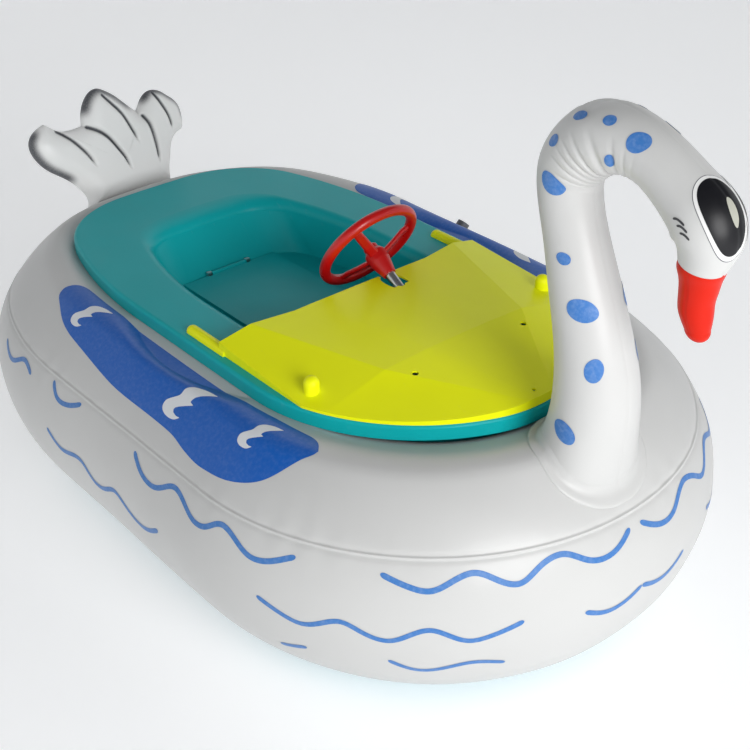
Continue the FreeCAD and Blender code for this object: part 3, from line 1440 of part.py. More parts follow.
def propeller(at, lie, bore):
    """Hub with twisted blades; each blade is ruled through three sections set at the pitch."""
    hub = turned("prop_hub", [
        (bore, s.prop_x - s.prop_hub_length / 2), (s.prop_hub_radius * 0.8, s.prop_x - s.prop_hub_length / 2),
        (s.prop_hub_radius, s.prop_x), (s.prop_hub_radius, s.prop_x + s.prop_hub_length / 2),
        (bore, s.prop_x + s.prop_hub_length / 2),
    ], at, lie)
    blade_shares = [(0.18, 0.36), (0.6, 0.62), (0.88, 0.5), (1.0, 0.24)]
    wires = []
    for radius_share, chord_share in blade_shares:
        radius = s.prop_radius.value * radius_share
        half = s.prop_radius.value * chord_share / 2
        thick = s.blade_thickness.value / 2 * (1.3 - radius_share / 2)
        lean = math.atan2(s.prop_pitch.value, 2 * math.pi * radius)
        across = Vector(0, math.cos(lean), math.sin(lean))
        face = Vector(0, -math.sin(lean), math.cos(lean))
        middle = Vector(radius, 0, s.prop_x.value)
        corners = [across * half, face * thick, across * -half, face * -thick]
        points = [middle + corner for corner in corners]
        wires.append(Part.makePolygon(points + points[:1]))
    blade = Part.makeLoft(wires, True, True)
    blades = []
    count = int(s.blade_count.value)
    for number in range(count):
        feature = doc.addObject("Part::Feature", f"blade_{number}")
        feature.Shape = blade
        blades.append(put(feature, at, lie.multiply(Rotation(Vector(0, 0, 1), number * 360 / count))))
    keep("propeller", fuse("propeller_shape", hub, *blades))


def guard(at, lie):
    """Short ring round the propeller on three struts from the pod's shoulder."""
    low = s.prop_x - s.guard_length / 2
    high = s.prop_x + s.guard_length / 2
    outline = ring_outline(s.guard_radius - s.guard_wall, s.guard_radius, low, high)
    hoop = turned("guard_hoop", outline, at, lie)
    struts = []
    for number, angle in enumerate((90, 210, 330)):
        spin = Rotation(Vector(0, 0, 1), angle)
        turn = lie.multiply(spin)
        reach = s.guard_radius - s.guard_wall / 2
        start = s.pod_back - s.guard_wall
        block = doc.addObject("Part::Box", f"guard_strut_{number}")
        bind(block, "Length", reach - s.pod_radius * 0.9)
        bind(block, "Width", s.guard_strut)
        bind(block, "Height", s.guard_strut * 2)
        shift = turn.multVec(Vector(s.pod_radius.value * 0.9, -s.guard_strut.value / 2, start.value))
        put(block, tuple(Vector(*[float(c) for c in at]) + shift), turn)
        struts.append(block)
    pod = solid(
        "Cylinder", "guard_pod_room", (s.stem_x + s.pod_back - s.pod_radius, 0, s.pod_height), lie,
        Radius=s.pod_radius + s.fit_gap, Height=s.pod_radius * 2,
    )
    keep("propeller_guard", cut("guard_shape", fuse("guard_solid", hoop, *struts), pod))


def battery_set():
    """Sealed battery on the bay's floor with two posts and a strap, and the controller on the bench wall."""
    low = s.floor_height
    half_x, half_y = s.battery_length / 2, s.battery_width / 2
    keep("battery", box(
        "battery_shape", (s.battery_x - half_x, -half_y, low),
        (s.battery_x + half_x, half_y, low + s.battery_height),
    ))
    keep("battery_terminals", fuse("terminals_shape", *[
        solid(
            "Cylinder", f"terminal_{number}",
            (s.battery_x + half_x - s.strap_width, side * (half_y - s.strap_width), low + s.battery_height),
            Radius=s.terminal_radius, Height=s.terminal_height,
        )
        for number, side in enumerate((1, -1))
    ]))
    gap = s.seat_gap
    thick = s.strap_thickness
    strap_outer = box(
        "strap_outer", (s.battery_x - s.strap_width, -half_y - gap - thick, s.floor_height),
        (s.battery_x, half_y + gap + thick, low + s.battery_height + gap + thick),
    )
    strap_inner = box(
        "strap_inner", (s.battery_x - s.strap_width * 2, -half_y - gap, s.floor_height - s.overrun),
        (s.battery_x + s.strap_width, half_y + gap, low + s.battery_height + gap),
    )
    keep("battery_strap", cut("strap_shape", strap_outer, strap_inner))
    wall = s.seat_front - s.tub_wall
    keep("controller_box", box(
        "controller_shape", (wall - s.controller_length, -s.controller_width / 2, s.controller_z),
        (wall, s.controller_width / 2, s.controller_z + s.controller_height),
    ))


def pedal_set():
    """Speed pedal: sloped plate on a pin between two ears, with its return spring."""
    x, y = s.pedal_x, s.pedal_y
    half = s.pedal_width / 2
    low = s.floor_height
    ear = s.ear_thickness
    base_solids = [box(
        "pedal_foot", (x - s.pedal_length / 2, y - half - ear * 2, low),
        (x + s.pedal_length / 2, y + half + ear * 2, low + ear),
    )]
    holes = []
    for number, side in enumerate((1, -1)):
        inner = side * (half + s.seat_gap)
        start = y + inner if side > 0 else y + inner - ear
        base_solids.append(box(
            f"pedal_ear_{number}", (x - ear * 2, start, low),
            (x + ear * 2, start + ear, low + s.pedal_pivot_height + ear * 2),
        ))
    bore = solid(
        "Cylinder", "pedal_ear_bore", (x, y - half * 2, low + s.pedal_pivot_height),
        Rotation(Vector(1, 0, 0), -90), Radius=s.pin_radius + s.fit_gap, Height=half * 4,
    )
    keep("pedal_base", cut("pedal_base_shape", fuse("pedal_base_solid", *base_solids), bore))
    keep("pedal_pin", solid(
        "Cylinder", "pedal_pin_shape", (x, y - half - ear * 2, low + s.pedal_pivot_height),
        Rotation(Vector(1, 0, 0), -90), Radius=s.pin_radius, Height=(half + ear * 2) * 2,
    ))
    thick = s.pedal_thickness
    plate = padded("pedal_plate", "XZ_Plane", [
        (-s.pedal_length / 2, thick), (s.pedal_length / 2, thick), (s.pedal_length / 2, thick * 2),
        (-s.pedal_length / 2, thick * 2),
    ], s.pedal_width, (x, y, low + s.pedal_pivot_height), Rotation(Vector(0, 1, 0), -s.pedal_tilt.value))
    knuckle = solid(
        "Cylinder", "pedal_knuckle", (x, y - half, low + s.pedal_pivot_height),
        Rotation(Vector(1, 0, 0), -90), Radius=s.pin_radius * 2.2, Height=s.pedal_width,
    )
    knuckle_bore = solid(
        "Cylinder", "pedal_bore", (x, y - half * 2, low + s.pedal_pivot_height),
        Rotation(Vector(1, 0, 0), -90), Radius=s.pin_radius + s.running_gap, Height=half * 4,
    )
    spring_room = solid(
        "Cylinder", "spring_room", (x, y - s.spring_half_length - s.fit_gap, low + s.pedal_pivot_height),
        Rotation(Vector(1, 0, 0), -90), Radius=s.pin_radius * 2.2 + s.fit_gap,
        Height=(s.spring_half_length + s.fit_gap) * 2,
    )
    keep("foot_pedal", cut("pedal_shape", fuse("pedal_solid", plate, knuckle), knuckle_bore, spring_room))
    coil = Part.makeHelix(s.spring_pitch.value, s.spring_half_length.value * 2 - s.spring_wire.value * 2,
                          s.spring_radius.value)
    ring_at = Vector(s.spring_radius.value, 0, 0)
    wire = Part.Wire([Part.makeCircle(s.spring_wire.value, ring_at, Vector(0, 1, 0))])
    spring = doc.addObject("Part::Feature", "spring_coil")
    spring.Shape = Part.Wire(coil).makePipeShell([wire], True, False)
    keep("pedal_spring", put(
        spring, (x, y - s.spring_half_length + s.spring_wire, low + s.pedal_pivot_height),
        Rotation(Vector(1, 0, 0), -90),
    ))


# A small valve's outline: shares of its radius and of its height, from inside the skin to the cap's top
SMALL_VALVE_SHARES = [(0, -1), (1, -1), (1, 1.5), (0.6, 1.5), (0.6, 2.5), (0, 2.5)]


def drain_and_valves():
    """Drain plug in the footwell's floor and the filling valves of ring, neck and tail."""
    head_top = s.floor_height + s.drain_head_height
    keep("drain_plug", turned("drain_plug", [
        (0, 0), (s.drain_radius, 0), (s.drain_radius, s.floor_height), (s.drain_head_radius, s.floor_height),
        (s.drain_head_radius, head_top), (0, head_top),
    ], (s.drain_x, s.drain_y, 0)))
    tilt = (s.ring_side_turn + s.ring_top_turn + s.ring_side_turn) / 2
    side = s.ring_half_width - s.ring_side_radius
    centre_y = side + (s.ring_side_radius - s.ring_top_radius) * cosine(s.ring_side_turn)
    centre_z = s.ring_widest_height + (s.ring_side_radius - s.ring_top_radius) * sine(s.ring_side_turn)
    on_skin = (
        s.valve_x, centre_y + s.ring_top_radius * cosine(tilt), centre_z + s.ring_top_radius * sine(tilt)
    )
    turn = Rotation(Vector(1, 0, 0), -(90 - tilt.value))
    height = s.valve_height
    body = turned("ring_valve_blank", [
        (0, -height / 2), (s.valve_radius, -height / 2), (s.valve_radius, height / 2),
        (s.valve_neck_radius, height / 2), (s.valve_neck_radius, height * 2), (0, height * 2),
    ], on_skin, turn)
    keep("ring_valve", cut("ring_valve_shape", body, pieces["ring_tube"]))
    bore = s.valve_neck_radius + s.running_gap
    keep("ring_valve_cap", turned("ring_valve_cap", [
        (bore, height / 2 + s.seat_gap), (s.valve_cap_radius, height / 2 + s.seat_gap),
        (s.valve_cap_radius, height * 2 + s.valve_cap_top), (0, height * 2 + s.valve_cap_top),
        (0, height * 2 + s.seat_gap), (bore, height * 2 + s.seat_gap),
    ], on_skin, turn))
    small = s.small_valve_height
    neck = neck_point(NECK_SHARES[1][0], NECK_SHARES[1][1])
    edge = NECK_SHARES[1][2] * s.neck_scale.value
    tail_x = s.tail_foot_x - s.lobe_thickness - s.tail_valve_back
    spots = {
        "neck_valve": ((neck.x, edge - small.value, neck.z), Rotation(Vector(1, 0, 0), -90), "swan_neck"),
        "tail_valve": (
            (tail_x, 0, s.tail_foot_z + s.tail_waist_height / 2), Rotation(Vector(0, 1, 0), -90), "swan_tail",
        ),
    }
    for label, (at, way, host) in spots.items():
        blank = turned(f"{label}_blank", [
            (s.small_valve_radius * width_share, small * share) for width_share, share in SMALL_VALVE_SHARES
        ], at, way)
        keep(label, cut(f"{label}_shape", blank, pieces[host]))


def lead(label, points):
    """Round cable along straight runs with even bends."""
    wires = []
    last = points[0]
    bend = s.lead_bend.value
    edges = []
    for number in range(1, len(points) - 1):
        corner = points[number]
        before = (points[number - 1] - corner).normalize()
        after = (points[number + 1] - corner).normalize()
        half = before.getAngle(after) / 2
        reach = bend / math.tan(half)
        start, stop = corner + before * reach, corner + after * reach
        middle = corner + (before + after).normalize() * (bend / math.sin(half) - bend)
        edges.append(Part.makeLine(last, start))
        edges.append(Part.Arc(start, middle, stop).toShape())
        last = stop
    edges.append(Part.makeLine(last, points[-1]))
    way = (points[1] - points[0]).normalize()
    wires.append(Part.Wire([Part.makeCircle(s.lead_radius.value, points[0], way)]))
    feature = doc.addObject("Part::Feature", f"{label}_run")
    feature.Shape = Part.Wire(edges).makePipeShell(wires, True, False)
    keep(label, feature)


def leads():
    """Battery lead to the controller, and motor lead along the hull's side into the hollow stem."""
    low = s.floor_height.value + s.battery_height.value
    post = Vector(
        s.battery_x.value + s.battery_length.value / 2 - s.strap_width.value,
        s.battery_width.value / 2 - s.strap_width.value, low + s.terminal_height.value,
    )
    box_back = s.seat_front.value - s.tub_wall.value - s.controller_length.value
    entry_z = s.controller_z.value + s.controller_height.value / 2
    lead("battery_lead", [post, Vector(post.x, post.y, entry_z), Vector(box_back, post.y, entry_z)])
    side = -s.controller_width.value / 2
    rail_y, rail_z = -s.lead_rail_y.value, lead_rail_z.value
    arch_z = spur_level().value + s.lead_arch_rise.value
    stem = s.stem_x.value
    start = Vector(box_back + s.controller_length.value / 2, side, entry_z)
    lead("motor_lead", [
        start, Vector(start.x, rail_y, start.z), Vector(start.x, rail_y, rail_z),
        Vector(stem, rail_y, rail_z), Vector(stem, rail_y, arch_z), Vector(stem, 0, arch_z),
        Vector(stem, 0, spur_level().value),
    ])


def check_and_write():
    """Stops on any failed feature, then writes one file for each sub-part."""
    doc.recompute()
    for feature in doc.Objects:
        bad = [state for state in feature.State if state in ("Invalid", "Error")]
        if bad:
            raise RuntimeError(f"{feature.Label} is {bad[0]}")
    os.makedirs("parts", exist_ok=True)
    for label, feature in pieces.items():
        shape = feature.Shape
        if shape.isNull() or not shape.isValid():
            raise RuntimeError(f"{label} has no valid shape")
        shape.exportStep(f"parts/{label}.step")
        print(f"{label}: {len(shape.Solids)} solids")


ring_tube()
swan_neck()
beak()
swan_tail()
cockpit_tub()
seat_lid()
hood()
hood_screws()
steering_wheel()
wheel_fixings()
steering_column()
column_bushes()
bevel_pair()
idler()
stem_parts()
gear_frame()
frame_bolts()
thruster()
battery_set()
pedal_set()
drain_and_valves()
leads()
check_and_write()
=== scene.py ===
import json
import math

import bpy
import numpy as np
from mathutils import Matrix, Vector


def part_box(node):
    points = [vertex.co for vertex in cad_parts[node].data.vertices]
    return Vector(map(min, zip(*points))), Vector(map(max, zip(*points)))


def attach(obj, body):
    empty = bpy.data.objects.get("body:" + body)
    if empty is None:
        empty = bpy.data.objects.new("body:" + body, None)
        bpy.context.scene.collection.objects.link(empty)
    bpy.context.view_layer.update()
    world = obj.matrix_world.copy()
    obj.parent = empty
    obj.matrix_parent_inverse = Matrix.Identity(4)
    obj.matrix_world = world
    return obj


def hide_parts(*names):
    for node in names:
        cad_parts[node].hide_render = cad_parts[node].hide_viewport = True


bl_info = {
    "name": "Bumper boat",
    "version": (1, 0, 0),
    "blender": (4, 5, 0),
    "location": "View3D > Sidebar > Boat",
    "description": "Dresses the packed bumper boat: inflated ring, swan's neck and tail, prints and finishes",
    "category": "Object",
}

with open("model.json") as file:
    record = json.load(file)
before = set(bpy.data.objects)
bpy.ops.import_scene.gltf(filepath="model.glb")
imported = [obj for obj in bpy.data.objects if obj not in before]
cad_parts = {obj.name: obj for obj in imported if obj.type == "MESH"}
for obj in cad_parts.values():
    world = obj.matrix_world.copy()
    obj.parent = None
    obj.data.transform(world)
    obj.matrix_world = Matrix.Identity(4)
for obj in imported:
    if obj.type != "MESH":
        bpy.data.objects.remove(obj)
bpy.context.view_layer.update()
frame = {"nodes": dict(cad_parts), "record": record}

TURN = 2 * math.pi


# Sizes and colours that a user may change


def length(name, default, description):
    """A length in metres that a user may change."""
    return bpy.props.FloatProperty(
        name=name, description=description, default=default, unit="LENGTH", precision=4
    )


def angle(name, default, description):
    """An angle in radians that a user may change."""
    return bpy.props.FloatProperty(name=name, description=description, default=default, subtype="ANGLE")


def tint(name, default, description):
    """A colour that a user may change."""
    return bpy.props.FloatVectorProperty(
        name=name, description=description, default=default, subtype="COLOR", size=3, min=0.0, max=1.0
    )


class RingSettings(bpy.types.PropertyGroup):
    """Inflated ring: outline in plan and the section carried round it."""

    half_width: length("Half width", 0.604, "Half the width over the ring")
    bow: length("Bow", 0.950, "Reach of the ring towards the bow")
    stern: length("Stern", 0.950, "Reach of the ring towards the stern")
    widest: length("Widest height", 0.289, "Height at which the section is widest")
    side_radius: length("Side radius", 0.2306, "Radius of the side above its widest point")
    top_radius: length("Top radius", 0.4326, "Radius of the shoulder panel")
    crown_radius: length("Crown radius", 0.060, "Radius of the top edge beside the deck rim")
    bed_radius: length("Bed radius", 0.200, "Radius of the skin that leads under the deck rim")
    edge_radius: length("Edge radius", 0.060, "Radius of the skin's inner edge under the deck")
    rim_foot: length("Rim foot", 0.5183, "Height of the deck rim's lower edge, which presses the skin down")
    seam_depth: length("Seam depth", 0.0024, "How far the welded seam pulls the skin in")
    seam_width: length("Seam width", 0.009, "Half width of the hollow beside the welded seam")
    bead: length("Bead", 0.0030, "Height of the weld's bead")
    pucker: length("Pucker", 0.0010, "Height of the small folds beside the seam")


class NeckSettings(bpy.types.PropertyGroup):
    """Inflated neck and head."""

    foot_x: length("Foot", 0.806, "Where the neck stands, forward of the middle")
    foot_z: length("Foot height", 0.512, "Height of the neck's foot")
    scale: length("Scale", 0.100, "Length that the neck's stations are shares of")
    fold: length("Fold", 0.0075, "Depth of the creases inside the bend")
    flange: length("Flange", 0.021, "Width of the welded flange round the foot")
    beak_radius: length("Beak radius", 0.0412, "Radius of the beak at the head")


class TailSettings(bpy.types.PropertyGroup):
    """Inflated tail: a welded fan of three feathers."""

    foot_x: length("Foot", -0.884, "Where the tail stands, aft of the middle")
    foot_z: length("Foot height", 0.470, "Height of the tail's waist")
    lean: angle("Lean", math.radians(18), "How far the fan leans aft")
    puff: length("Puff", 0.043, "Half thickness of the inflated fan")
    rim: length("Rim", 0.052, "Distance from the weld over which the fan reaches its full thickness")


class PrintSettings(bpy.types.PropertyGroup):
    """Waves, panels and spots printed on the skin."""

    line: length("Line", 0.0112, "Width of a wave line")
    lift: length("Lift", 0.0005, "Thickness of the printed film")


class Colours(bpy.types.PropertyGroup):
    """Colours of the boat."""

    skin: tint("Skin", (0.57, 0.57, 0.56), "Coated fabric of ring and neck")
    tail: tint("Tail", (0.78, 0.78, 0.77), "Coated fabric of the tail")
    tub: tint("Tub", (0.004, 0.400, 0.425), "Moulded cockpit")
    hood: tint("Hood", (0.90, 0.94, 0.006), "Moulded hood")
    wheel: tint("Wheel", (0.52, 0.004, 0.004), "Steering wheel")
    beak: tint("Beak", (0.60, 0.013, 0.002), "Beak")
    wave: tint("Wave", (0.045, 0.175, 0.47), "Printed waves")
    panel: tint("Panel", (0.006, 0.108, 0.47), "Printed side panels")
    spot: tint("Spot", (0.048, 0.180, 0.49), "Printed spots on the neck")


class StageSettings(bpy.types.PropertyGroup):
    """Camera: place, direction of view and lens."""

    camera: bpy.props.FloatVectorProperty(
        name="Camera", description="Place of the camera",
        default=(2.1948, -1.609, 1.962), subtype="TRANSLATION",
    )
    azimuth: angle("Azimuth", 0.9004, "Direction of view, 0 along +Y and 90 degrees along -X")
    elevation: angle("Elevation", 0.5473, "Height of view above the horizon")
    roll: angle("Roll", -0.0329, "Roll of the camera")
    lens: bpy.props.FloatProperty(
        name="Lens", description="Focal length at a 36 mm sensor, in millimetres", default=65.62
    )


# Curves and surfaces


def smooth_through(marks, count):
    """Natural cubic spline through rows of numbers, by the chord length of their first two columns.
    The second derivatives solve the usual tridiagonal system; returns count lengths and rows."""
    marks = np.asarray(marks, float)
    step = np.hypot(*np.diff(marks[:, :2], axis=0).T)
    at = np.r_[0, np.cumsum(step)]
    size = len(at)
    system = np.eye(size)
    right = np.zeros_like(marks)
    inner = np.arange(1, size - 1)
    system[inner, inner - 1] = step[:-1]
    system[inner, inner] = 2 * (step[:-1] + step[1:])
    system[inner, inner + 1] = step[1:]
    slope = np.diff(marks, axis=0) / step[:, None]
    right[1:-1] = 6 * np.diff(slope, axis=0)
    bend = np.linalg.solve(system, right)
    here = np.linspace(0, at[-1], count)
    k = np.clip(np.searchsorted(at, here, side="right") - 1, 0, size - 2)
    a, b, span = (here - at[k])[:, None], (at[k + 1] - here)[:, None], step[k][:, None]
    rows = (bend[k] * b**3 + bend[k + 1] * a**3) / (6 * span)
    rows += (marks[k] / span - bend[k] * span / 6) * b
    rows += (marks[k + 1] / span - bend[k + 1] * span / 6) * a
    return here, rows


def run_along(arcs, step, start=0.0):
    """Rows of run, two coordinates and heading along arcs given as (centre, radius, first and last angle);
    a straight stretch joins one arc to the next."""
    rows, run = [], start
    for centre, radius, first, last in arcs:
        a = np.linspace(first, last, int((last - first) * radius / step) + 3)
        x, y = centre[0] + radius * np.cos(a), centre[1] + radius * np.sin(a)
        row = np.stack([radius * (a - first), x, y, a], 1)
        if rows:
            run += math.hypot(*(row[0, 1:3] - rows[-1][-1, 1:3]))
        row[:, 0] += run
        rows.append(row)
        run = row[-1, 0]
    return np.concatenate(rows)


def smooth_step(value):
    """0 up to 0, 1 from 1, and 3 v squared less 2 v cubed between."""
    value = np.clip(value, 0, 1)
    return value * value * (3 - 2 * value)


def unit(vectors):
    """Vectors divided by their lengths."""
    return vectors / np.maximum(np.linalg.norm(vectors, axis=-1, keepdims=True), 1e-12)


class Track:
    """Plan outline: tangent arcs by distance run from the bow tip, port side first. Half, bow and stern are
    its reaches; the radii are those of the bow's end and flank, the flank, the stern's corner and end; the
    flank's middle lies start aft of the middle."""

    def __init__(self, half, bow, stern, bow_end, bow_flank, start, flank, corner, end, step=0.002):
        reach = math.sqrt((bow_flank - bow_end) ** 2 - (bow_flank - half) ** 2)
        c_bow = np.array([bow - bow_end, 0.0])
        c_bow_flank = np.array([c_bow[0] - reach, half - bow_flank])
        c_flank = np.array([-start, half - flank])
        c_end = np.array([end - stern, 0.0])
        gap = c_end - c_flank
        apart = np.hypot(*gap)
        near, far = flank - corner, end - corner
        along = (near**2 - far**2 + apart**2) / (2 * apart)
        aside = math.sqrt(near**2 - along**2)
        c_corner = c_flank + gap / apart * along + np.array([-gap[1], gap[0]]) / apart * aside

        def heading(first, last):
            return math.atan2(last[1] - first[1], last[0] - first[0])

        turns = [heading(c_bow_flank, c_bow), heading(c_flank, c_corner), heading(c_end, c_corner)]
        quarter = math.pi / 2
        arcs = [
            (c_bow, bow_end, 0, turns[0]), (c_bow_flank, bow_flank, turns[0], quarter),
            (c_flank, flank, quarter, turns[1]), (c_corner, corner, turns[1], turns[2]),
            (c_end, end, turns[2], math.pi),
        ]
        self.rows = run_along(arcs, step)
        run = self.rows[-1, 0]
        back = self.rows[::-1] * [-1, 1, -1, -1] + [2 * run, 0, 0, TURN]
        self.rows = np.concatenate([self.rows, back])
        self.length = 2 * run

    def at(self, run):
        """Forward, port and heading of the outline's normal at a run."""
        run = np.mod(run, self.length)
        return [np.interp(run, self.rows[:, 0], self.rows[:, k]) for k in (1, 2, 3)]


# Radii of the plan arcs, in metres over the half width, of the ring and of the deck rim on it
RING_ARCS = {"bow_end": -0.014, "bow_flank": 0.036, "flank": 0.326, "corner": -0.095, "end": 0.505}
RIM_ARCS = {"bow_end": -0.120, "bow_flank": 0.070, "flank": 0.890, "corner": -0.135, "end": 2.205}
# Where their flanks are widest, aft of the middle
RING_START, RIM_START = 0.276, 0.196
# How far the rim lies inside the ring, at the sides, the bow and the stern
RIM_SIDE, RIM_BOW, RIM_STERN = 0.229, 0.274, 0.214


class RingSkin:
    """A point of the ring is the outline moved inwards by the section's inset and up by its height.
    u runs round the outline in metres, v up the section from its widest line in metres."""

    # Slopes of the section's normal where its side, shoulder and bed end
    SIDE_TURN, SHOULDER_TURN, BED_TURN = math.radians(36), math.radians(54), math.radians(106)
    # Straight run of the bed, radius of the foot and spacing of the section's points
    BED_RUN, FOOT, STEP = 0.050, 0.030, 0.002
    # Gap below the rim's foot, reach of the roll beside the rim, and rise that is pressed down evenly
    RIM_GAP, ROLL, PRESSED_RISE = 0.0012, 0.056, 0.012
    # Half widths of the bead and of the plain strip beside it, reach of its folds, and height of the slack
    BEAD_WIDTH, PLAIN, FOLD_REACH, SLACK = 0.0026, 0.006, 0.028, 0.0011

    def __init__(self, ring):
        self.ring = ring
        half, widest = ring.half_width, ring.widest
        arcs = {name: half + over for name, over in RING_ARCS.items()}
        self.track = Track(half, ring.bow, ring.stern, start=RING_START, **arcs)
        rim_half = half - RIM_SIDE
        arcs = {name: rim_half + over for name, over in RIM_ARCS.items()}
        rim = Track(rim_half, ring.bow - RIM_BOW, ring.stern - RIM_STERN, start=RIM_START, **arcs)
        self.rim_angle = np.unwrap(np.arctan2(rim.rows[:, 2], rim.rows[:, 1]))
        self.rim_reach = np.hypot(rim.rows[:, 1], rim.rows[:, 2])
        first, second, third = self.SIDE_TURN, self.SHOULDER_TURN, self.BED_TURN

        def way(turn):
            return np.array([math.cos(turn), math.sin(turn)])

        c_side = np.array([half - ring.side_radius, widest])
        c_top = c_side + (ring.side_radius - ring.top_radius) * way(first)
        c_crown = c_top + (ring.top_radius - ring.crown_radius) * way(second)
        c_bed = c_crown + [0, ring.crown_radius - ring.bed_radius]
        bed_end = c_bed + ring.bed_radius * way(third)
        slope = self.BED_RUN / math.tan(third)
        c_edge = bed_end + [-self.BED_RUN, slope] - ring.edge_radius * way(third)
        inner_y = c_edge[0] - ring.edge_radius
        self.rows = run_along([
            ((half - widest, widest), widest, -math.pi / 2, 0), (c_side, ring.side_radius, 0, first),
            (c_top, ring.top_radius, first, second), (c_crown, ring.crown_radius, second, math.pi / 2),
            (c_bed, ring.bed_radius, math.pi / 2, third), (c_edge, ring.edge_radius, third, math.pi),
            ((inner_y + self.FOOT, self.FOOT), self.FOOT, math.pi, 1.5 * math.pi),
        ], self.STEP, -widest * math.pi / 2)
        self.low, self.high = self.rows[0, 0], self.rows[-1, 0]
        self.seam = ring.side_radius * first

    def at(self, u, v):
        """Points with their relief, pressed by the rim, and the smooth section's normals."""
        x, y, heading = self.track.at(u)
        inwards, z, tilt = [np.interp(v, self.rows[:, 0], self.rows[:, k]) for k in (1, 2, 3)]
        inwards = self.ring.half_width - inwards
        ahead, aside = np.cos(heading), np.sin(heading)
        point = np.stack([x - inwards * ahead, y - inwards * aside, z], -1)
        normal = np.stack([ahead * np.cos(tilt), aside * np.cos(tilt), np.sin(tilt)], -1)
        return self.pressed(point + normal * self.relief(u, v)[..., None]), normal

    def top(self, x, y):
        """Height of the skin at a place in plan within the bow's end arc, where the inset is the arc's radius
        less the distance from its centre."""
        radius = self.ring.half_width + RING_ARCS["bow_end"]
        inset = radius - np.hypot(x - self.ring.bow + radius, y)
        rows = self.rows[(self.rows[:, 0] > 0) & (self.rows[:, 3] < self.BED_TURN)]
        return np.interp(inset, self.ring.half_width - rows[:, 1], rows[:, 2])

    def pressed(self, point):
        """Beside the deck rim the skin rolls over and down to just below the rim's foot: what rises above
        that sinks by a share, a power of the nearness to the rim that is higher for a smaller rise."""
        bearing = np.mod(np.arctan2(point[..., 1], point[..., 0]), TURN)
        inside = np.interp(bearing, self.rim_angle, self.rim_reach) - np.hypot(point[..., 0], point[..., 1])
        rise = np.maximum(point[..., 2] - self.ring.rim_foot + self.RIM_GAP, 1e-6)
        nearness = np.clip(1 + inside / self.ROLL, 0, 1)
        sunk = rise * nearness ** (1.2 + self.PRESSED_RISE / rise)
        return point - sunk[..., None] * [0, 0, 1]

    def relief(self, u, v):
        """Welded bead in a shallow hollow round the shoulder, small folds beside it, and slack of the skin:
        bell curves across the seam, and sums of sines round the ring that fade away from it."""
        ring = self.ring
        gap = v - self.seam
        groove = ring.bead * np.exp(-((gap / self.BEAD_WIDTH) ** 2))
        groove -= ring.seam_depth * np.exp(-((gap / ring.seam_width) ** 2))
        turns = u / self.track.length * TURN
        ripple = np.sin(61 * turns + 1.7 * np.sin(7 * turns))
        ripple += 0.7 * np.sin(97 * turns + 2.3 * np.cos(5 * turns))
        patch = 0.5 + 0.5 * np.sin(6 * turns + 0.8)
        folds = ring.pucker * ripple * patch * np.exp(-np.abs(gap) / self.FOLD_REACH)
        folds *= 1 - np.exp(-((gap / self.PLAIN) ** 2))
        slack = self.SLACK * np.sin(9 * turns + 14 * v) * np.sin(23 * v + 3 * turns)
        return groove + folds + slack * smooth_step((0.33 - v) / 0.04) * smooth_step((v + 0.44) / 0.1)


# Stations of the neck as shares of its scale: forward of the foot, up from the foot, radius
NECK_SHARES = [
    (-0.06, -0.10, 1.00), (0.02, 0.55, 0.89), (0.00, 1.60, 0.775), (-0.19, 2.50, 0.69),
    (-0.46, 3.42, 0.625), (-0.71, 4.27, 0.566), (-0.86, 4.93, 0.568), (-0.83, 5.40, 0.592),
    (-0.56, 5.80, 0.622), (-0.16, 6.09, 0.630), (0.33, 6.18, 0.575), (0.85, 6.095, 0.518),
    (1.30, 5.88, 0.517), (1.715, 5.605, 0.556), (1.985, 5.375, 0.595), (2.095, 5.125, 0.575),
    (2.085, 4.87, 0.490), (2.03, 4.62, 0.412),
]


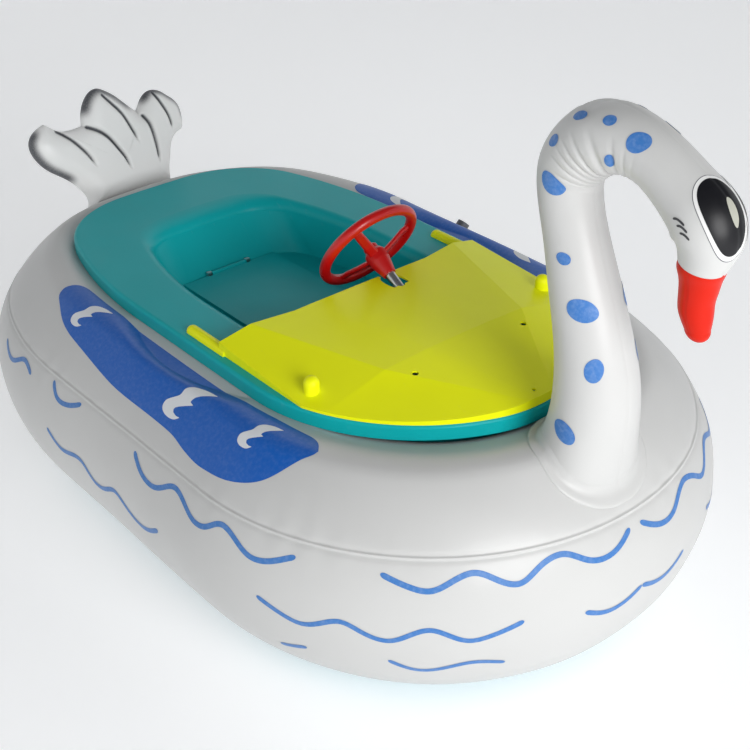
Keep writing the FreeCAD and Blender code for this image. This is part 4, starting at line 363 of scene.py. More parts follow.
class NeckSkin:
    """A point of the neck is its centre line plus the radius turned by v about it.
    u runs along the centre line in metres; v is 0 on the side that faces the bow at the foot."""

    # Share by which the front is flatter at the foot, and how far up that reaches
    FLAT_SHARE, FLAT_REACH = 0.24, 0.11
    # Depth of the weld lines, and their half width as an angle
    WELD, WELD_WIDTH = 0.0009, 0.05
    # Where the creases lie along the neck, inside the bend and on its back, and how far they spread
    CREASES_AT, CREASES_REACH, BACK_AT, BACK_REACH = 0.655, 0.078, 0.665, 0.030

    def __init__(self, neck):
        self.neck = neck
        marks = np.array(NECK_SHARES) * neck.scale + [neck.foot_x, neck.foot_z, 0]
        self.run, rows = smooth_through(marks, 500)
        self.x, self.z, self.radius = rows.T
        slope = unit(np.gradient(rows[:, :2], self.run, axis=0))
        self.heading = np.unwrap(np.arctan2(slope[:, 1], slope[:, 0]))
        self.length = self.run[-1]

    def at(self, u, v):
        """Points with their relief, and the directions from the centre line, straight below the foot."""
        tables = (self.x, self.z, self.radius, self.heading)
        x, z, radius, heading = [np.interp(u, self.run, table) for table in tables]
        below = np.minimum(u, 0)
        x, z = x + below * math.cos(self.heading[0]), z + below * math.sin(self.heading[0])
        flat = self.FLAT_SHARE * np.exp(-((u / self.FLAT_REACH) ** 2)) * np.clip(np.cos(v), 0, 1) ** 2
        radius = radius * (1 - flat)
        out = np.stack([np.sin(heading) * np.cos(v), np.sin(v) + 0 * u, -np.cos(heading) * np.cos(v)], -1)
        point = np.stack([x, 0 * x, z], -1) + (radius + self.relief(u, v))[..., None] * out
        return point, out

    def relief(self, u, v):
        """Creases that fan out from the inside of the bend, smaller ones on its back, and fine weld lines."""
        v = np.mod(v + math.pi, TURN) - math.pi
        creases = np.cos(124 * u + 0.8 * np.sin(2 * v + 0.6) + 1.3 * np.sin(41 * u)) ** 6
        inside = np.clip(np.cos(0.72 * v), 0, 1) ** 1.2
        inside *= np.exp(-(((u - self.CREASES_AT) / self.CREASES_REACH) ** 2))
        back = np.clip(-np.cos(v), 0, 1) ** 6 * np.exp(-(((u - self.BACK_AT) / self.BACK_REACH) ** 2))
        front_weld = np.exp(-((v / self.WELD_WIDTH) ** 2))
        rear_weld = np.exp(-(((np.abs(v) - math.pi) / self.WELD_WIDTH) ** 2))
        return -self.WELD * (front_weld + rear_weld) - self.neck.fold * creases * (inside + 0.35 * back)

    def shift(self, u, v, along, across):
        """A place moved along the neck and round it by two lengths."""
        radius = np.interp(u, self.run, self.radius)
        return u + along, v + across / radius


# Meshes


def new_object(name, mesh, material, body="hull"):
    """A piece at the origin that rides on a body."""
    piece = bpy.data.objects.new(name, mesh)
    bpy.context.scene.collection.objects.link(piece)
    mesh.materials.append(material)
    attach(piece, body)
    return piece


def mesh_from(name, points, faces):
    """A smooth mesh of points and faces."""
    mesh = bpy.data.meshes.new(name)
    mesh.from_pydata(points.reshape(-1, 3).tolist(), [], faces.tolist())
    mesh.validate()
    mesh.polygons.foreach_set("use_smooth", np.full(len(mesh.polygons), True))
    mesh.update()
    return mesh


def grid_faces(rows, columns, round_rows=False, round_columns=False):
    """Quads of a grid of rows by columns points, joined end to end where it is round."""
    i = np.arange(rows if round_rows else rows - 1)
    j = np.arange(columns if round_columns else columns - 1)
    i, j = [k.ravel() for k in np.meshgrid(i, j, indexing="ij")]
    a, b = i % rows, (i + 1) % rows
    c, d = j % columns, (j + 1) % columns
    return np.stack([a * columns + c, b * columns + c, b * columns + d, a * columns + d], 1)


def shell(name, points, material, round_rows=False, round_columns=False, flip=False, body="hull"):
    """A piece from a grid of points; flip turns its faces over."""
    faces = grid_faces(*points.shape[:2], round_rows, round_columns)
    if flip:
        faces = faces[:, ::-1]
    return new_object(name, mesh_from(name, points, faces), material, body)


def capped(points, first=(0.0,), last=(0.0,)):
    """Closes a tube of rows: each end row shrinks to its middle, by the shares given."""
    def shrunk(row, shares):
        middle = row.mean(axis=0)
        return [middle + (row - middle) * share for share in shares]

    return np.stack([*shrunk(points[0], first), *points, *shrunk(points[-1], last)])


def outward(patch, normal):
    """A grid of points, its rows in reverse where its faces would point into the skin."""
    down, along = patch[1:, :-1] - patch[:-1, :-1], patch[:-1, 1:] - patch[:-1, :-1]
    facing = np.sum(np.cross(down, along) * normal[:-1, :-1])
    return patch if facing > 0 else patch[::-1]


def film(name, patches, material):
    """Several grids of points as one printed film."""
    points, faces, count = [], [], 0
    for patch in patches:
        faces.append(grid_faces(*patch.shape[:2]) + count)
        points.append(patch.reshape(-1, 3))
        count += len(points[-1])
    new_object(name, mesh_from(name, np.concatenate(points), np.concatenate(faces)), material)


def stroke(skin, path, width, lift):
    """A line on a skin: points lie either side of the path, square to it, and its ends are half circles."""
    path = np.asarray(path, float)
    centre, normal = skin.at(path[:, 0], path[:, 1])
    along = unit(np.gradient(centre, axis=0))
    side = unit(np.cross(normal, along))
    run = np.r_[0, np.cumsum(np.linalg.norm(np.diff(centre, axis=0), axis=1))]
    short = 1 - np.clip(np.minimum(run, run[-1] - run) / width, 0, 1)
    half = width / 2 * np.sqrt(1 - short**2)
    patch = np.stack([centre + normal * lift + side * (half * k)[:, None] for k in (1, 0, -1)], 1)
    return outward(patch, normal[:, None] + 0 * patch)


def blot(skin, u, v, along, across, turn, lift, wobble=0.0, rings=16, count=64):
    """A filled oval on a skin: rings of points about its middle, turned, with a wavering edge."""
    radius, bearing = np.meshgrid(np.linspace(0, 1, rings), np.linspace(0, TURN, count), indexing="ij")
    edge = 1 + wobble * (np.sin(3 * bearing + u * 90) + 0.6 * np.sin(5 * bearing + u * 40))
    a = along * radius * edge * np.cos(bearing)
    b = across * radius * edge * np.sin(bearing)
    a, b = a * math.cos(turn) - b * math.sin(turn), a * math.sin(turn) + b * math.cos(turn)
    place = skin.shift(np.full_like(a, u), np.full_like(a, v), a, b)
    point, normal = skin.at(*place)
    return outward(point + normal * lift, normal)


# Shader sums


class Sum:
    """A shader value that takes part in Python sums; each sum adds its Math node."""

    def __init__(self, shader, socket):
        self.shader = shader
        self.socket = socket

    def maths(self, operation, other, swap=False):
        values = [other, self] if swap else [self, other]
        return self.shader.node("ShaderNodeMath", {"operation": operation}, dict(enumerate(values)))

    def __add__(self, other):
        return self.maths("ADD", other)

    __radd__ = __add__

    def __sub__(self, other):
        return self.maths("SUBTRACT", other)

    def __rsub__(self, other):
        return self.maths("SUBTRACT", other, swap=True)

    def __mul__(self, other):
        return self.maths("MULTIPLY", other)

    __rmul__ = __mul__

    def ramp(self, low, high):
        """0 below low, 1 above high, smooth between."""
        settings = {"interpolation_type": "SMOOTHSTEP"}
        return self.shader.node("ShaderNodeMapRange", settings, {0: self, 1: low, 2: high, 3: 0.0, 4: 1.0})


class Finish:
    """One material's nodes."""

    def __init__(self, name):
        self.material = bpy.data.materials.new(name)
        self.material.use_nodes = True
        self.tree = self.material.node_tree
        self.tree.nodes.clear()

    def node(self, kind, settings=None, inputs=None, output=0):
        """One node: its settings, then the values or links of its sockets; returns one output as a Sum."""
        made = self.tree.nodes.new(kind)
        for key, value in (settings or {}).items():
            setattr(made, key, value)
        for key, value in (inputs or {}).items():
            if isinstance(value, Sum):
                self.tree.links.new(value.socket, made.inputs[key])
            else:
                made.inputs[key].default_value = value
        return Sum(self, made.outputs[output]) if len(made.outputs) else made

    def place(self):
        """Object coordinates."""
        return self.node("ShaderNodeTexCoord", output="Object")

    def height(self):
        """Height above the ground."""
        return self.node("ShaderNodeSeparateXYZ", inputs={0: self.place()}, output=2)

    def noise(self, scale, detail=3.0, roughness=0.5, stretch=None):
        """Clouds of a scale, 0 to 1, finer along the axes that are stretched."""
        spot = self.place()
        if stretch:
            spot = self.node("ShaderNodeMapping", inputs={0: spot, "Scale": stretch})
        inputs = {"Vector": spot, "Scale": scale, "Detail": detail, "Roughness": roughness}
        return self.node("ShaderNodeTexNoise", {"normalize": True}, inputs)

    def mixed(self, share, first, second):
        """A colour between two colours."""
        wide = [value if isinstance(value, Sum) else (*value[:3], 1.0) for value in (first, second)]
        return self.node("ShaderNodeMix", {"data_type": "RGBA"}, {0: share, 6: wide[0], 7: wide[1]}, output=2)

    def bumped(self, height, strength, distance):
        """A normal tipped by the slope of a height."""
        inputs = {"Height": height, "Strength": strength, "Distance": distance}
        return self.node("ShaderNodeBump", None, inputs)

    def surface(self, colour, roughness, normal=None, **fixed):
        """The finished material; fixed holds sockets that stay the same all over."""
        inputs = {"Base Color": colour if isinstance(colour, Sum) else (*colour, 1.0), "Roughness": roughness}
        if normal is not None:
            inputs["Normal"] = normal
        inputs.update(fixed)
        shader = self.node("ShaderNodeBsdfPrincipled", None, inputs)
        self.node("ShaderNodeOutputMaterial", None, {0: shader})
        return self.material


def darker(colour, share):
    """A colour times a share."""
    return tuple(part * share for part in colour)


def satin(finish, base, shine=0.35):
    """Fine weave under a satin coat, a little uneven in gloss."""
    fine = finish.noise(520, 1.0) * 0.6 + finish.noise(60, 2.0) * 0.4
    rough = finish.noise(9, 3.0) * 0.16 + 0.30
    fixed = {"Specular IOR Level": shine, "Coat Weight": 0.06}
    return finish.surface(base, rough, finish.bumped(fine, 0.10, 0.0008), **fixed)


def coated_fabric(name, colour, grime=0.25, bottom_tint=None, shine=0.35):
    """Welded PVC: a little uneven in colour, greyer towards the ground, and tinted over its lowest few
    centimetres.
    """
    finish = Finish(name)
    cloud = finish.noise(2.3, 2.0).ramp(0.3, 0.75)
    base = finish.mixed(cloud * 0.22, colour, darker(colour, 0.86))
    low = (1 - finish.height().ramp(0.0, 0.16)) * finish.noise(14, 4.0).ramp(0.25, 0.7) * grime
    base = finish.mixed(low, base, (0.16, 0.19, 0.21))
    # Tint towards the bottom: colour changes over the lowest few centimetres of the skin
    if bottom_tint:
        base = finish.mixed((1 - finish.height().ramp(0.028, 0.072)) * 0.8, base, bottom_tint)
    return satin(finish, base, shine)


def feathered(name, colour):
    """Coated fabric with the printed quill strokes and with painted shade along the feather edges; the
    vertices carry both as the ink attribute.
    """
    finish = Finish(name)
    print_and_painted_shade = finish.node("ShaderNodeAttribute", {"attribute_name": "ink"}, output=2)
    specks = finish.noise(300, 4.0, 0.7) * 0.5 + 0.75
    # Where the ink attribute is high the skin takes the darker colour: print on the quills, painted shade at
    # the edges
    share = (print_and_painted_shade * specks).ramp(0.10, 0.95)
    return satin(finish, finish.mixed(share, colour, (0.055, 0.058, 0.068)))


def gel_coat(name, colour, shade=0.72, rough=0.36):
    """Moulded shell: glossy skin with slight ripple, scuffs and faint uneven colour."""
    finish = Finish(name)
    cloud = finish.noise(3.1, 3.0).ramp(0.3, 0.8)
    base = finish.mixed(cloud * 0.30, colour, darker(colour, shade))
    scuff = finish.noise(38, 6.0, 0.65, (1.0, 4.0, 1.0)).ramp(0.60, 0.78)
    base = finish.mixed(scuff * 0.05, base, (0.5, 0.52, 0.5))
    ripple = finish.noise(24, 2.0) * 0.8 + finish.noise(160, 2.0) * 0.2
    roughness = finish.noise(7, 3.0) * 0.14 + scuff * 0.16 + (rough - 0.07)
    fixed = {"Specular IOR Level": 0.13, "Coat Weight": 0.02}
    return finish.surface(base, roughness, finish.bumped(ripple, 0.10, 0.002), **fixed)


def printed(name, colour, fade=0.12):
    """Ink film: flat colour that thins out a little in patches."""
    finish = Finish(name)
    thin = finish.noise(120, 4.0, 0.6).ramp(0.35, 0.8)
    base = finish.mixed(thin * fade, colour, (0.62, 0.68, 0.78))
    rough = finish.noise(40, 3.0) * 0.15 + 0.30
    normal = finish.bumped(finish.noise(520, 1.0), 0.06, 0.0006)
    return finish.surface(base, rough, normal, **{"Specular IOR Level": 0.3})


def moulded(name, colour, rough=0.45, grain=0.0):
    """Solid plastic with a fine moulded grain."""
    finish = Finish(name)
    base = finish.mixed(finish.noise(18, 4.0).ramp(0.3, 0.8) * 0.35, colour, darker(colour, 0.7))
    bumps = finish.noise(260, 3.0) + finish.noise(900, 1.0) * grain
    gloss = finish.noise(30, 3.0) * 0.15 + (rough - 0.07)
    return finish.surface(base, gloss, finish.bumped(bumps, 0.12, 0.0006))


def woven(name, colour):
    """Webbing: fine warp and weft threads with a dull sheen."""
    finish = Finish(name)

    def threads(axis, scale):
        inputs = {0: finish.place(), "Scale": scale}
        return finish.node("ShaderNodeTexWave", {"bands_direction": axis}, inputs, output=1)

    thread = threads("X", 190.0) * 0.6 + threads("Z", 90.0) * 0.2 + threads("Y", 90.0) * 0.2
    base = finish.mixed(thread, darker(colour, 0.5), colour)
    return finish.surface(base, finish.noise(60, 2.0) * 0.1 + 0.75, finish.bumped(thread, 0.5, 0.0006))


def metal(name, colour, rough=0.32, stretch=(1.0, 1.0, 12.0)):
    """Machined or cast metal with drawn marks."""
    finish = Finish(name)
    marks = finish.noise(90, 5.0, 0.6, stretch)
    base = finish.mixed(marks.ramp(0.3, 0.75) * 0.5, colour, darker(colour, 0.6))
    gloss = marks * 0.22 + (rough - 0.1)
    return finish.surface(base, gloss, finish.bumped(marks, 0.15, 0.0004), Metallic=1.0)


def finishes(colours):
    """All materials by the record's slot names, and those of the prints."""
    skin = tuple(colours.skin)
    return {
        "pvc_white": coated_fabric("White skin", skin, bottom_tint=(0.015, 0.26, 0.32)),
        "pvc_beak": coated_fabric("Beak skin", tuple(colours.beak), 0.0, shine=0.15),
        "tub": gel_coat("Teal gel coat", tuple(colours.tub)),
        "hood": gel_coat("Yellow gel coat", tuple(colours.hood), 0.80, 0.40),
        "red_plastic": moulded("Red plastic", tuple(colours.wheel), 0.30),
        "black_plastic": moulded("Black plastic", (0.018, 0.018, 0.020), 0.5, 0.5),
        "grey_plastic": moulded("Grey plastic", (0.12, 0.125, 0.13), 0.5, 0.5),
        "white_plastic": moulded("White plastic", (0.62, 0.62, 0.60), 0.4),
        "steel": metal("Stainless steel", (0.56, 0.56, 0.57), 0.30),
        "aluminium": metal("Cast aluminium", (0.60, 0.61, 0.62), 0.48, (1.0, 1.0, 1.0)),
        "bronze": metal("Bearing bronze", (0.48, 0.30, 0.12), 0.38),
        "painted": moulded("Dark paint", (0.020, 0.024, 0.028), 0.35),
        "cable": moulded("Cable sheath", (0.012, 0.012, 0.013), 0.55),
        "webbing": woven("Webbing", (0.020, 0.020, 0.023)),
    }


MATERIALS = {}


def material_for(slot):
    """The material of a slot, made with all the others when the first is asked for."""
    if not MATERIALS:
        MATERIALS.update(finishes(bpy.context.scene.boat_colours))
    return MATERIALS[slot]


# Operators, one for each piece or group of like pieces


class BOAT_OT_finishes(bpy.types.Operator):
    """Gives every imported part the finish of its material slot."""

    bl_idname = "boat.finishes"
    bl_label = "Finishes"

    def execute(self, context):
        slots = {part["node"]: part["material_slot"] for part in frame["record"]["subparts"]}
        for node, piece in frame["nodes"].items():
            piece.data.materials.clear()
            piece.data.materials.append(material_for(slots[node]))
        return {"FINISHED"}


class BOAT_OT_ring(bpy.types.Operator):
    """Builds the inflated ring."""

    bl_idname = "boat.ring"
    bl_label = "Inflated ring"
    COLUMNS = 600

    def execute(self, context):
        skin = RingSkin(context.scene.boat_ring)
        # The rows of the section lie closer together at the seam and beside the deck rim
        stops = [skin.low, -0.02, skin.seam - 0.015, skin.seam + 0.015, 0.30, 0.40, 0.51, skin.high]
        rows = np.cumsum([0, 26, 24, 20, 16, 57, 10, 8])
        marks = np.interp(np.arange(rows[-1] + 1), rows, stops)
        round_it = np.linspace(0, skin.track.length, self.COLUMNS, endpoint=False)
        u, v = np.meshgrid(round_it, marks, indexing="ij")
        points, _ = skin.at(u, v)
        ring = shell("inflated_ring", points, material_for("pvc_white"), True, True)
        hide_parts("ring_tube")
        return {"FINISHED"}


# Section of the weld at the neck's foot: shares of the flange's width out from the wall, and height in metres
FOOT_SECTION = [
    (1.02, -0.003), (1.00, 0.0012), (0.90, 0.0026), (0.72, 0.0028), (0.52, 0.0026), (0.34, 0.0030),
    (0.20, 0.0052), (0.09, 0.0090), (0.02, 0.0140),
]


class BOAT_OT_neck(bpy.types.Operator):
    """Builds the inflated neck and head, welded to the ring by a flange round its foot."""

    bl_idname = "boat.neck"
    bl_label = "Neck and head"
    ROWS, COLUMNS = 520, 184
    # Stretch of the neck in which it meets the ring, and height over the ring at which its wall begins
    MEETS, WALL = (-0.07, 0.22), 0.017

    def execute(self, context):
        neck = context.scene.boat_neck
        skin, ring = NeckSkin(neck), RingSkin(context.scene.boat_ring)
        turns = np.linspace(0, TURN, self.COLUMNS, endpoint=False)
        low = np.linspace(*self.MEETS, 290)
        rows, _ = skin.at(*np.meshgrid(low, turns, indexing="ij"))
        clear = rows[..., 2] - ring.top(rows[..., 0], rows[..., 1])
        first = np.maximum(np.argmax(clear > self.WALL, axis=0), 1)
        start = low[first]
        # Rows lie closer together in the creased bend
        share = np.interp(np.linspace(0, 1, self.ROWS), [0, 0.32, 0.76, 1], [0, 0.52, 0.82, 1])[:, None]
        points, _ = skin.at(start + (skin.length - start) * share, turns[None] + 0 * share)
        touch = rows[np.argmax(clear > 0, axis=0), np.arange(len(turns))]
        away = unit((touch - [neck.foot_x, 0, 0]) * [1, 1, 0])
        section = np.array(FOOT_SECTION)
        foot = touch[None] + away * (section[:, 0] * neck.flange)[:, None, None]
        foot[..., 2] = ring.top(foot[..., 0], foot[..., 1]) + section[:, 1][:, None]
        points = capped(np.concatenate([foot, points]), last=(0.6, 0.2, 0.0))
        neck = shell("inflated_neck", points, material_for("pvc_white"), False, True, flip=True)
        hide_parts("swan_neck")
        return {"FINISHED"}


# Stations of the beak in metres: forward of the middle, height, radius
BEAK = [
    (1.0090, 0.9750, 0.0404), (1.0088, 0.9720, 0.0411), (1.0079, 0.9504, 0.0368), (1.0063, 0.9247, 0.0327),
    (1.0045, 0.9055, 0.0308), (1.0053, 0.8878, 0.0298), (1.0086, 0.8710, 0.0266), (1.0120, 0.8560, 0.0222),
]
# Height of the beak's rounded end, and depth of its two weld lines as a share of the radius
BEAK_END, BEAK_WELD_SHARE = 0.022, 0.022


class BOAT_OT_beak(bpy.types.Operator):
    """Builds the beak under the head: ovals along a curved line, with a rounded end."""

    bl_idname = "boat.beak"
    bl_label = "Beak"

    def execute(self, context):
        _, rows = smooth_through(BEAK, 110)
        turn = np.linspace(0, math.pi / 2, 24)[1:, None]
        way = unit(rows[-1, :2] - rows[-4, :2])
        radius = rows[-1, 2] * np.maximum(np.cos(turn), 0.004)
        end = np.hstack([rows[-1, :2] + way * BEAK_END * np.sin(turn), radius])
        rows = np.concatenate([rows, end])
        rows[:, 2] *= context.scene.boat_neck.beak_radius / BEAK[1][2]
        bearing = np.linspace(0, TURN, 96, endpoint=False)
        off = np.minimum(np.abs(bearing - math.pi / 2), np.abs(bearing - 1.5 * math.pi))
        seam = 1 - BEAK_WELD_SHARE * np.exp(-((off / 0.06) ** 2))
        x = rows[:, :1] + rows[:, 2:] * np.cos(bearing) * seam
        y = rows[:, 2:] * np.sin(bearing) * 0.95 * seam
        points = capped(np.stack([x, y, rows[:, 1:2] + 0 * bearing], -1))
        beak = shell("inflated_beak", points, material_for("pvc_beak"), False, True)
        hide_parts("beak")
        return {"FINISHED"}


# Outline of the tail in its leaning plane, in metres: across to port, up from the waist
TAIL_OUTLINE = [
    (-0.1176, 0.0012), (-0.1123, 0.0123), (-0.1115, 0.0309), (-0.1261, 0.0601), (-0.1561, 0.0934),
    (-0.1827, 0.1147), (-0.2030, 0.1341), (-0.2241, 0.1703), (-0.2283, 0.1926), (-0.2234, 0.2124),
    (-0.2081, 0.2294), (-0.1757, 0.2436), (-0.1565, 0.2266), (-0.1366, 0.2163), (-0.1177, 0.2126),
    (-0.0943, 0.2121), (-0.0717, 0.2139), (-0.0664, 0.2355), (-0.0542, 0.2630), (-0.0375, 0.2832),
    (-0.0203, 0.2943), (-0.0024, 0.2967), (0.0155, 0.2881), (0.0351, 0.2733), (0.0561, 0.2512),
    (0.0768, 0.2275), (0.0941, 0.2091), (0.1050, 0.2267), (0.1240, 0.2471), (0.1429, 0.2556),
    (0.1589, 0.2549), (0.1763, 0.2470), (0.1935, 0.2318), (0.2103, 0.2150), (0.2190, 0.1954),
    (0.2203, 0.1695), (0.2163, 0.1449), (0.2135, 0.1359), (0.1992, 0.1316), (0.1835, 0.1229),
    (0.1698, 0.1088), (0.1599, 0.0889), (0.1517, 0.0686), (0.1435, 0.0482), (0.1378, 0.0239),
    (0.1362, 0.0130),
]
# Places in the outline where the feathers end in a point
TAIL_POINTS = (11, 16, 26, 37)
# Quill strokes on the tail, from the tips of the feathers to the waist
QUILLS = [
    [(-0.1496, 0.2172), (-0.1242, 0.1923), (-0.1057, 0.1660), (-0.0902, 0.1402), (-0.0750, 0.1019)],
    [(-0.0652, 0.2076), (-0.0399, 0.1903), (-0.0193, 0.1679), (-0.0041, 0.1390), (0.0103, 0.1069),
     (0.0172, 0.0671)],
    [(0.0016, 0.2768), (0.0177, 0.2514), (0.0363, 0.2220), (0.0490, 0.1845), (0.0572, 0.1542),
     (0.0630, 0.1274)],
    [(0.0992, 0.1968), (0.1062, 0.1793), (0.1098, 0.1563), (0.1099, 0.1277), (0.1074, 0.0966),
     (0.1015, 0.0662)],
    [(0.1476, 0.2476), (0.1555, 0.2268), (0.1610, 0.2097), (0.1682, 0.1858), (0.1710, 0.1597),
     (0.1713, 0.1372)],
]
# Stretches of the outline along which shade is painted in from the edge, and how far in the painted shade
# reaches, in metres
PAINTED_SHADE_EDGES = [(3, 11, 0.016), (16, 26, 0.020), (26, 37, 0.016)]
# Middle of the fan, from which its rings of points spread
TAIL_MIDDLE = (0.005, 0.095)
# Width of a quill's groove at its tip, and its depth as a share of the puff
QUILL_WIDTH, QUILL_SHARE = 0.0070, 0.30


def nearest(points, path):
    """Distance from each point to a path of straight steps, and how far along the path it lies, 0 to 1."""
    far, where = np.full(points.shape[:-1], np.inf), np.zeros(points.shape[:-1])
    count = len(path) - 1
    for k in range(count):
        run = path[k + 1] - path[k]
        t = np.clip(((points - path[k]) @ run) / (run @ run), 0, 1)
        gap = np.linalg.norm(points - path[k] - t[..., None] * run, axis=-1)
        where = np.where(gap < far, (k + t) / count, where)
        far = np.minimum(far, gap)
    return far, where


class BOAT_OT_tail(bpy.types.Operator):
    """Builds the tail: two skins welded round a feathered outline and blown up. The puff is a quarter circle
    over the distance from the weld, evened out, thinner towards the tips and hollowed by the quills."""

    bl_idname = "boat.tail"
    bl_label = "Tail"

    def execute(self, context):
        tail = context.scene.boat_tail
        marks = np.array(TAIL_OUTLINE)
        stops = [0, *TAIL_POINTS, len(marks) - 1]
        parts = []
        for first, last in zip(stops[:-1], stops[1:]):
            _, rows = smooth_through(marks[first:last + 1], 11 * (last - first) + 1)
            parts.append(rows[:-1])
        foot = np.linspace(marks[-1], marks[0], 36, endpoint=False)
        outline = np.concatenate([*parts, foot])
        share = np.sin(np.linspace(0, math.pi / 2, 84))
        flat = TAIL_MIDDLE + (outline[None] - TAIL_MIDDLE) * share[:, None, None]
        far, _ = nearest(flat, np.concatenate([outline, outline[:1]]))
        depth = np.clip(far / tail.rim, 0, 1)
        puff = tail.puff * np.sqrt(1 - (1 - depth) ** 2)
        for _ in range(6):
            puff[1:-1] = (puff[:-2] + 2 * puff[1:-1] + puff[2:]) / 4
            puff = (np.roll(puff, 1, 1) + 2 * puff + np.roll(puff, -1, 1)) / 4
            puff[0] = puff[0].mean()
            puff[-1] = 0
        puff *= 0.6 + 0.4 * np.clip(1 - (flat[..., 1] - 0.06) / 0.30, 0, 1)
        quills = np.zeros(flat.shape[:2])
        for quill in QUILLS:
            gap, where = nearest(flat, smooth_through(quill, 40)[1])
            wide = QUILL_WIDTH * (1 - 0.55 * where)
            quills = np.maximum(quills, np.exp(-((gap / wide) ** 2)) * smooth_step((1 - where) * 5))
        puff = puff * (1 - QUILL_SHARE * quills)
        # Painted shade: the fan is coloured darker in from these stretches of its edge, where the light falls
        # off
        dark = np.zeros(flat.shape[:2])
        for first, last, reach in PAINTED_SHADE_EDGES:
            gap, where = nearest(flat, smooth_through(marks[first:last + 1], 60)[1])
            ends = smooth_step(where * 5) * smooth_step((1 - where) * 5)
            dark = np.maximum(dark, np.exp(-((gap / reach) ** 2)) * ends)
        # The ink attribute holds both the printed quills and the painted shade along the edges
        ink = np.clip(np.maximum(quills**1.5, 0.85 * dark), 0, 1)
        lean, sides = tail.lean, []
        for off in (puff, -puff):
            x = tail.foot_x - flat[..., 1] * math.sin(lean) + off * math.cos(lean)
            z = tail.foot_z + flat[..., 1] * math.cos(lean) + off * math.sin(lean)
            sides.append(np.stack([x, flat[..., 0], z], -1))
        points = np.concatenate([sides[0], sides[1][::-1][1:]])
        finish = feathered("Tail skin", tuple(context.scene.boat_colours.tail))
        piece = shell("inflated_tail", points, finish, False, True, flip=True)
        values = np.concatenate([ink, ink[::-1][1:]]).ravel().astype(np.float32)
        piece.data.attributes.new("ink", "FLOAT", "POINT").data.foreach_set("value", values)
        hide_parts("swan_tail")
        return {"FINISHED"}


class BOAT_OT_strap(bpy.types.Operator):
    """Builds the webbing band over the battery: a flat oval carried along a path with round corners."""

    bl_idname = "boat.strap"
    bl_label = "Battery band"
    THICK, CORNER, SAG = 0.0019, 0.005, 0.0004
    # Powers of sine and cosine that square the oval's long and short sides
    LONG_POWER, SHORT_POWER = 0.35, 0.5

    def execute(self, context):
        low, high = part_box("battery_strap")
        thick, corner = self.THICK, self.CORNER
        side, top = low.y + thick / 2, high.z - thick / 2
        bend = np.linspace(0, math.pi / 2, 9)
        y = side + corner * (1 - np.sin(bend))[::-1]
        z = top - corner * (1 - np.cos(bend))[::-1]
        rise = np.linspace(low.z, z[0], 24, endpoint=False)
        across = np.linspace(y[-1], -y[-1], 60)[1:-1]
        path = np.concatenate([
            np.stack([side + 0 * rise, rise], 1), np.stack([y, z], 1),
            np.stack([across, top + self.SAG * np.sin(across * 60)], 1), np.stack([-y[::-1], z[::-1]], 1),
            np.stack([-side + 0 * rise, rise[::-1]], 1),
        ])
        along = unit(np.gradient(path, axis=0))
        out = np.stack([-along[:, 1], along[:, 0]], 1)
        turn = np.linspace(0, TURN, 40, endpoint=False)
        squared = np.sign(np.cos(turn)) * np.abs(np.cos(turn)) ** self.LONG_POWER
        wide = (low.x + high.x) / 2 + (high.x - low.x) / 2 * squared
        lift = thick / 2 * np.sign(np.sin(turn)) * np.abs(np.sin(turn)) ** self.SHORT_POWER
        points = np.stack([
            wide + 0 * path[:, :1], path[:, :1] + out[:, :1] * lift, path[:, 1:] + out[:, 1:] * lift,
        ], -1)
        band = shell("battery_band", capped(points), material_for("webbing"), False, True)
        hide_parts("battery_strap")
        return {"FINISHED"}


# Wave lines: place round the ring and height on the section, from end to end
WAVES = [
    [(3.995, 0.123), (4.043, 0.091), (4.099, 0.091), (4.149, 0.117), (4.197, 0.102), (4.236, 0.087),
     (4.272, 0.093), (4.307, 0.114), (4.355, 0.102), (4.398, 0.084), (4.432, 0.087), (4.473, 0.104),
     (4.495, 0.114)],
    [(3.651, 0.018), (3.712, -0.008), (3.762, 0.003), (3.805, 0.005), (3.848, -0.021), (3.898, -0.016),
     (3.941, 0.003), (3.987, -0.016), (4.043, -0.031), (4.114, 0.001)],
    [(3.649, 0.132), (3.682, 0.104), (3.725, 0.106), (3.775, 0.129)],
    [(4.417, 0.009), (4.471, -0.012), (4.512, -0.021), (4.554, -0.006), (4.592, 0.007), (4.629, -0.008),
     (4.683, -0.023), (4.720, -0.006), (4.757, 0.007), (4.791, -0.006), (4.828, -0.021), (4.865, -0.014),
     (4.928, 0.011)],
    [(4.664, 0.114), (4.720, 0.093), (4.757, 0.087), (4.794, 0.102), (4.841, 0.117), (4.887, 0.097),
     (4.923, 0.087), (4.965, 0.110), (5.019, 0.121), (5.068, 0.095), (5.114, 0.089), (5.175, 0.119)],
    [(4.677, -0.081), (4.737, -0.111), (4.830, -0.085), (4.899, -0.098)],
    [(4.448, -0.115), (4.480, -0.106), (4.512, -0.094)],
    [(3.360, 0.106), (3.410, 0.088), (3.452, 0.094), (3.500, 0.118), (3.552, 0.104)],
    [(5.051, -0.008), (5.105, -0.030), (5.150, -0.026), (5.189, -0.010)],
]
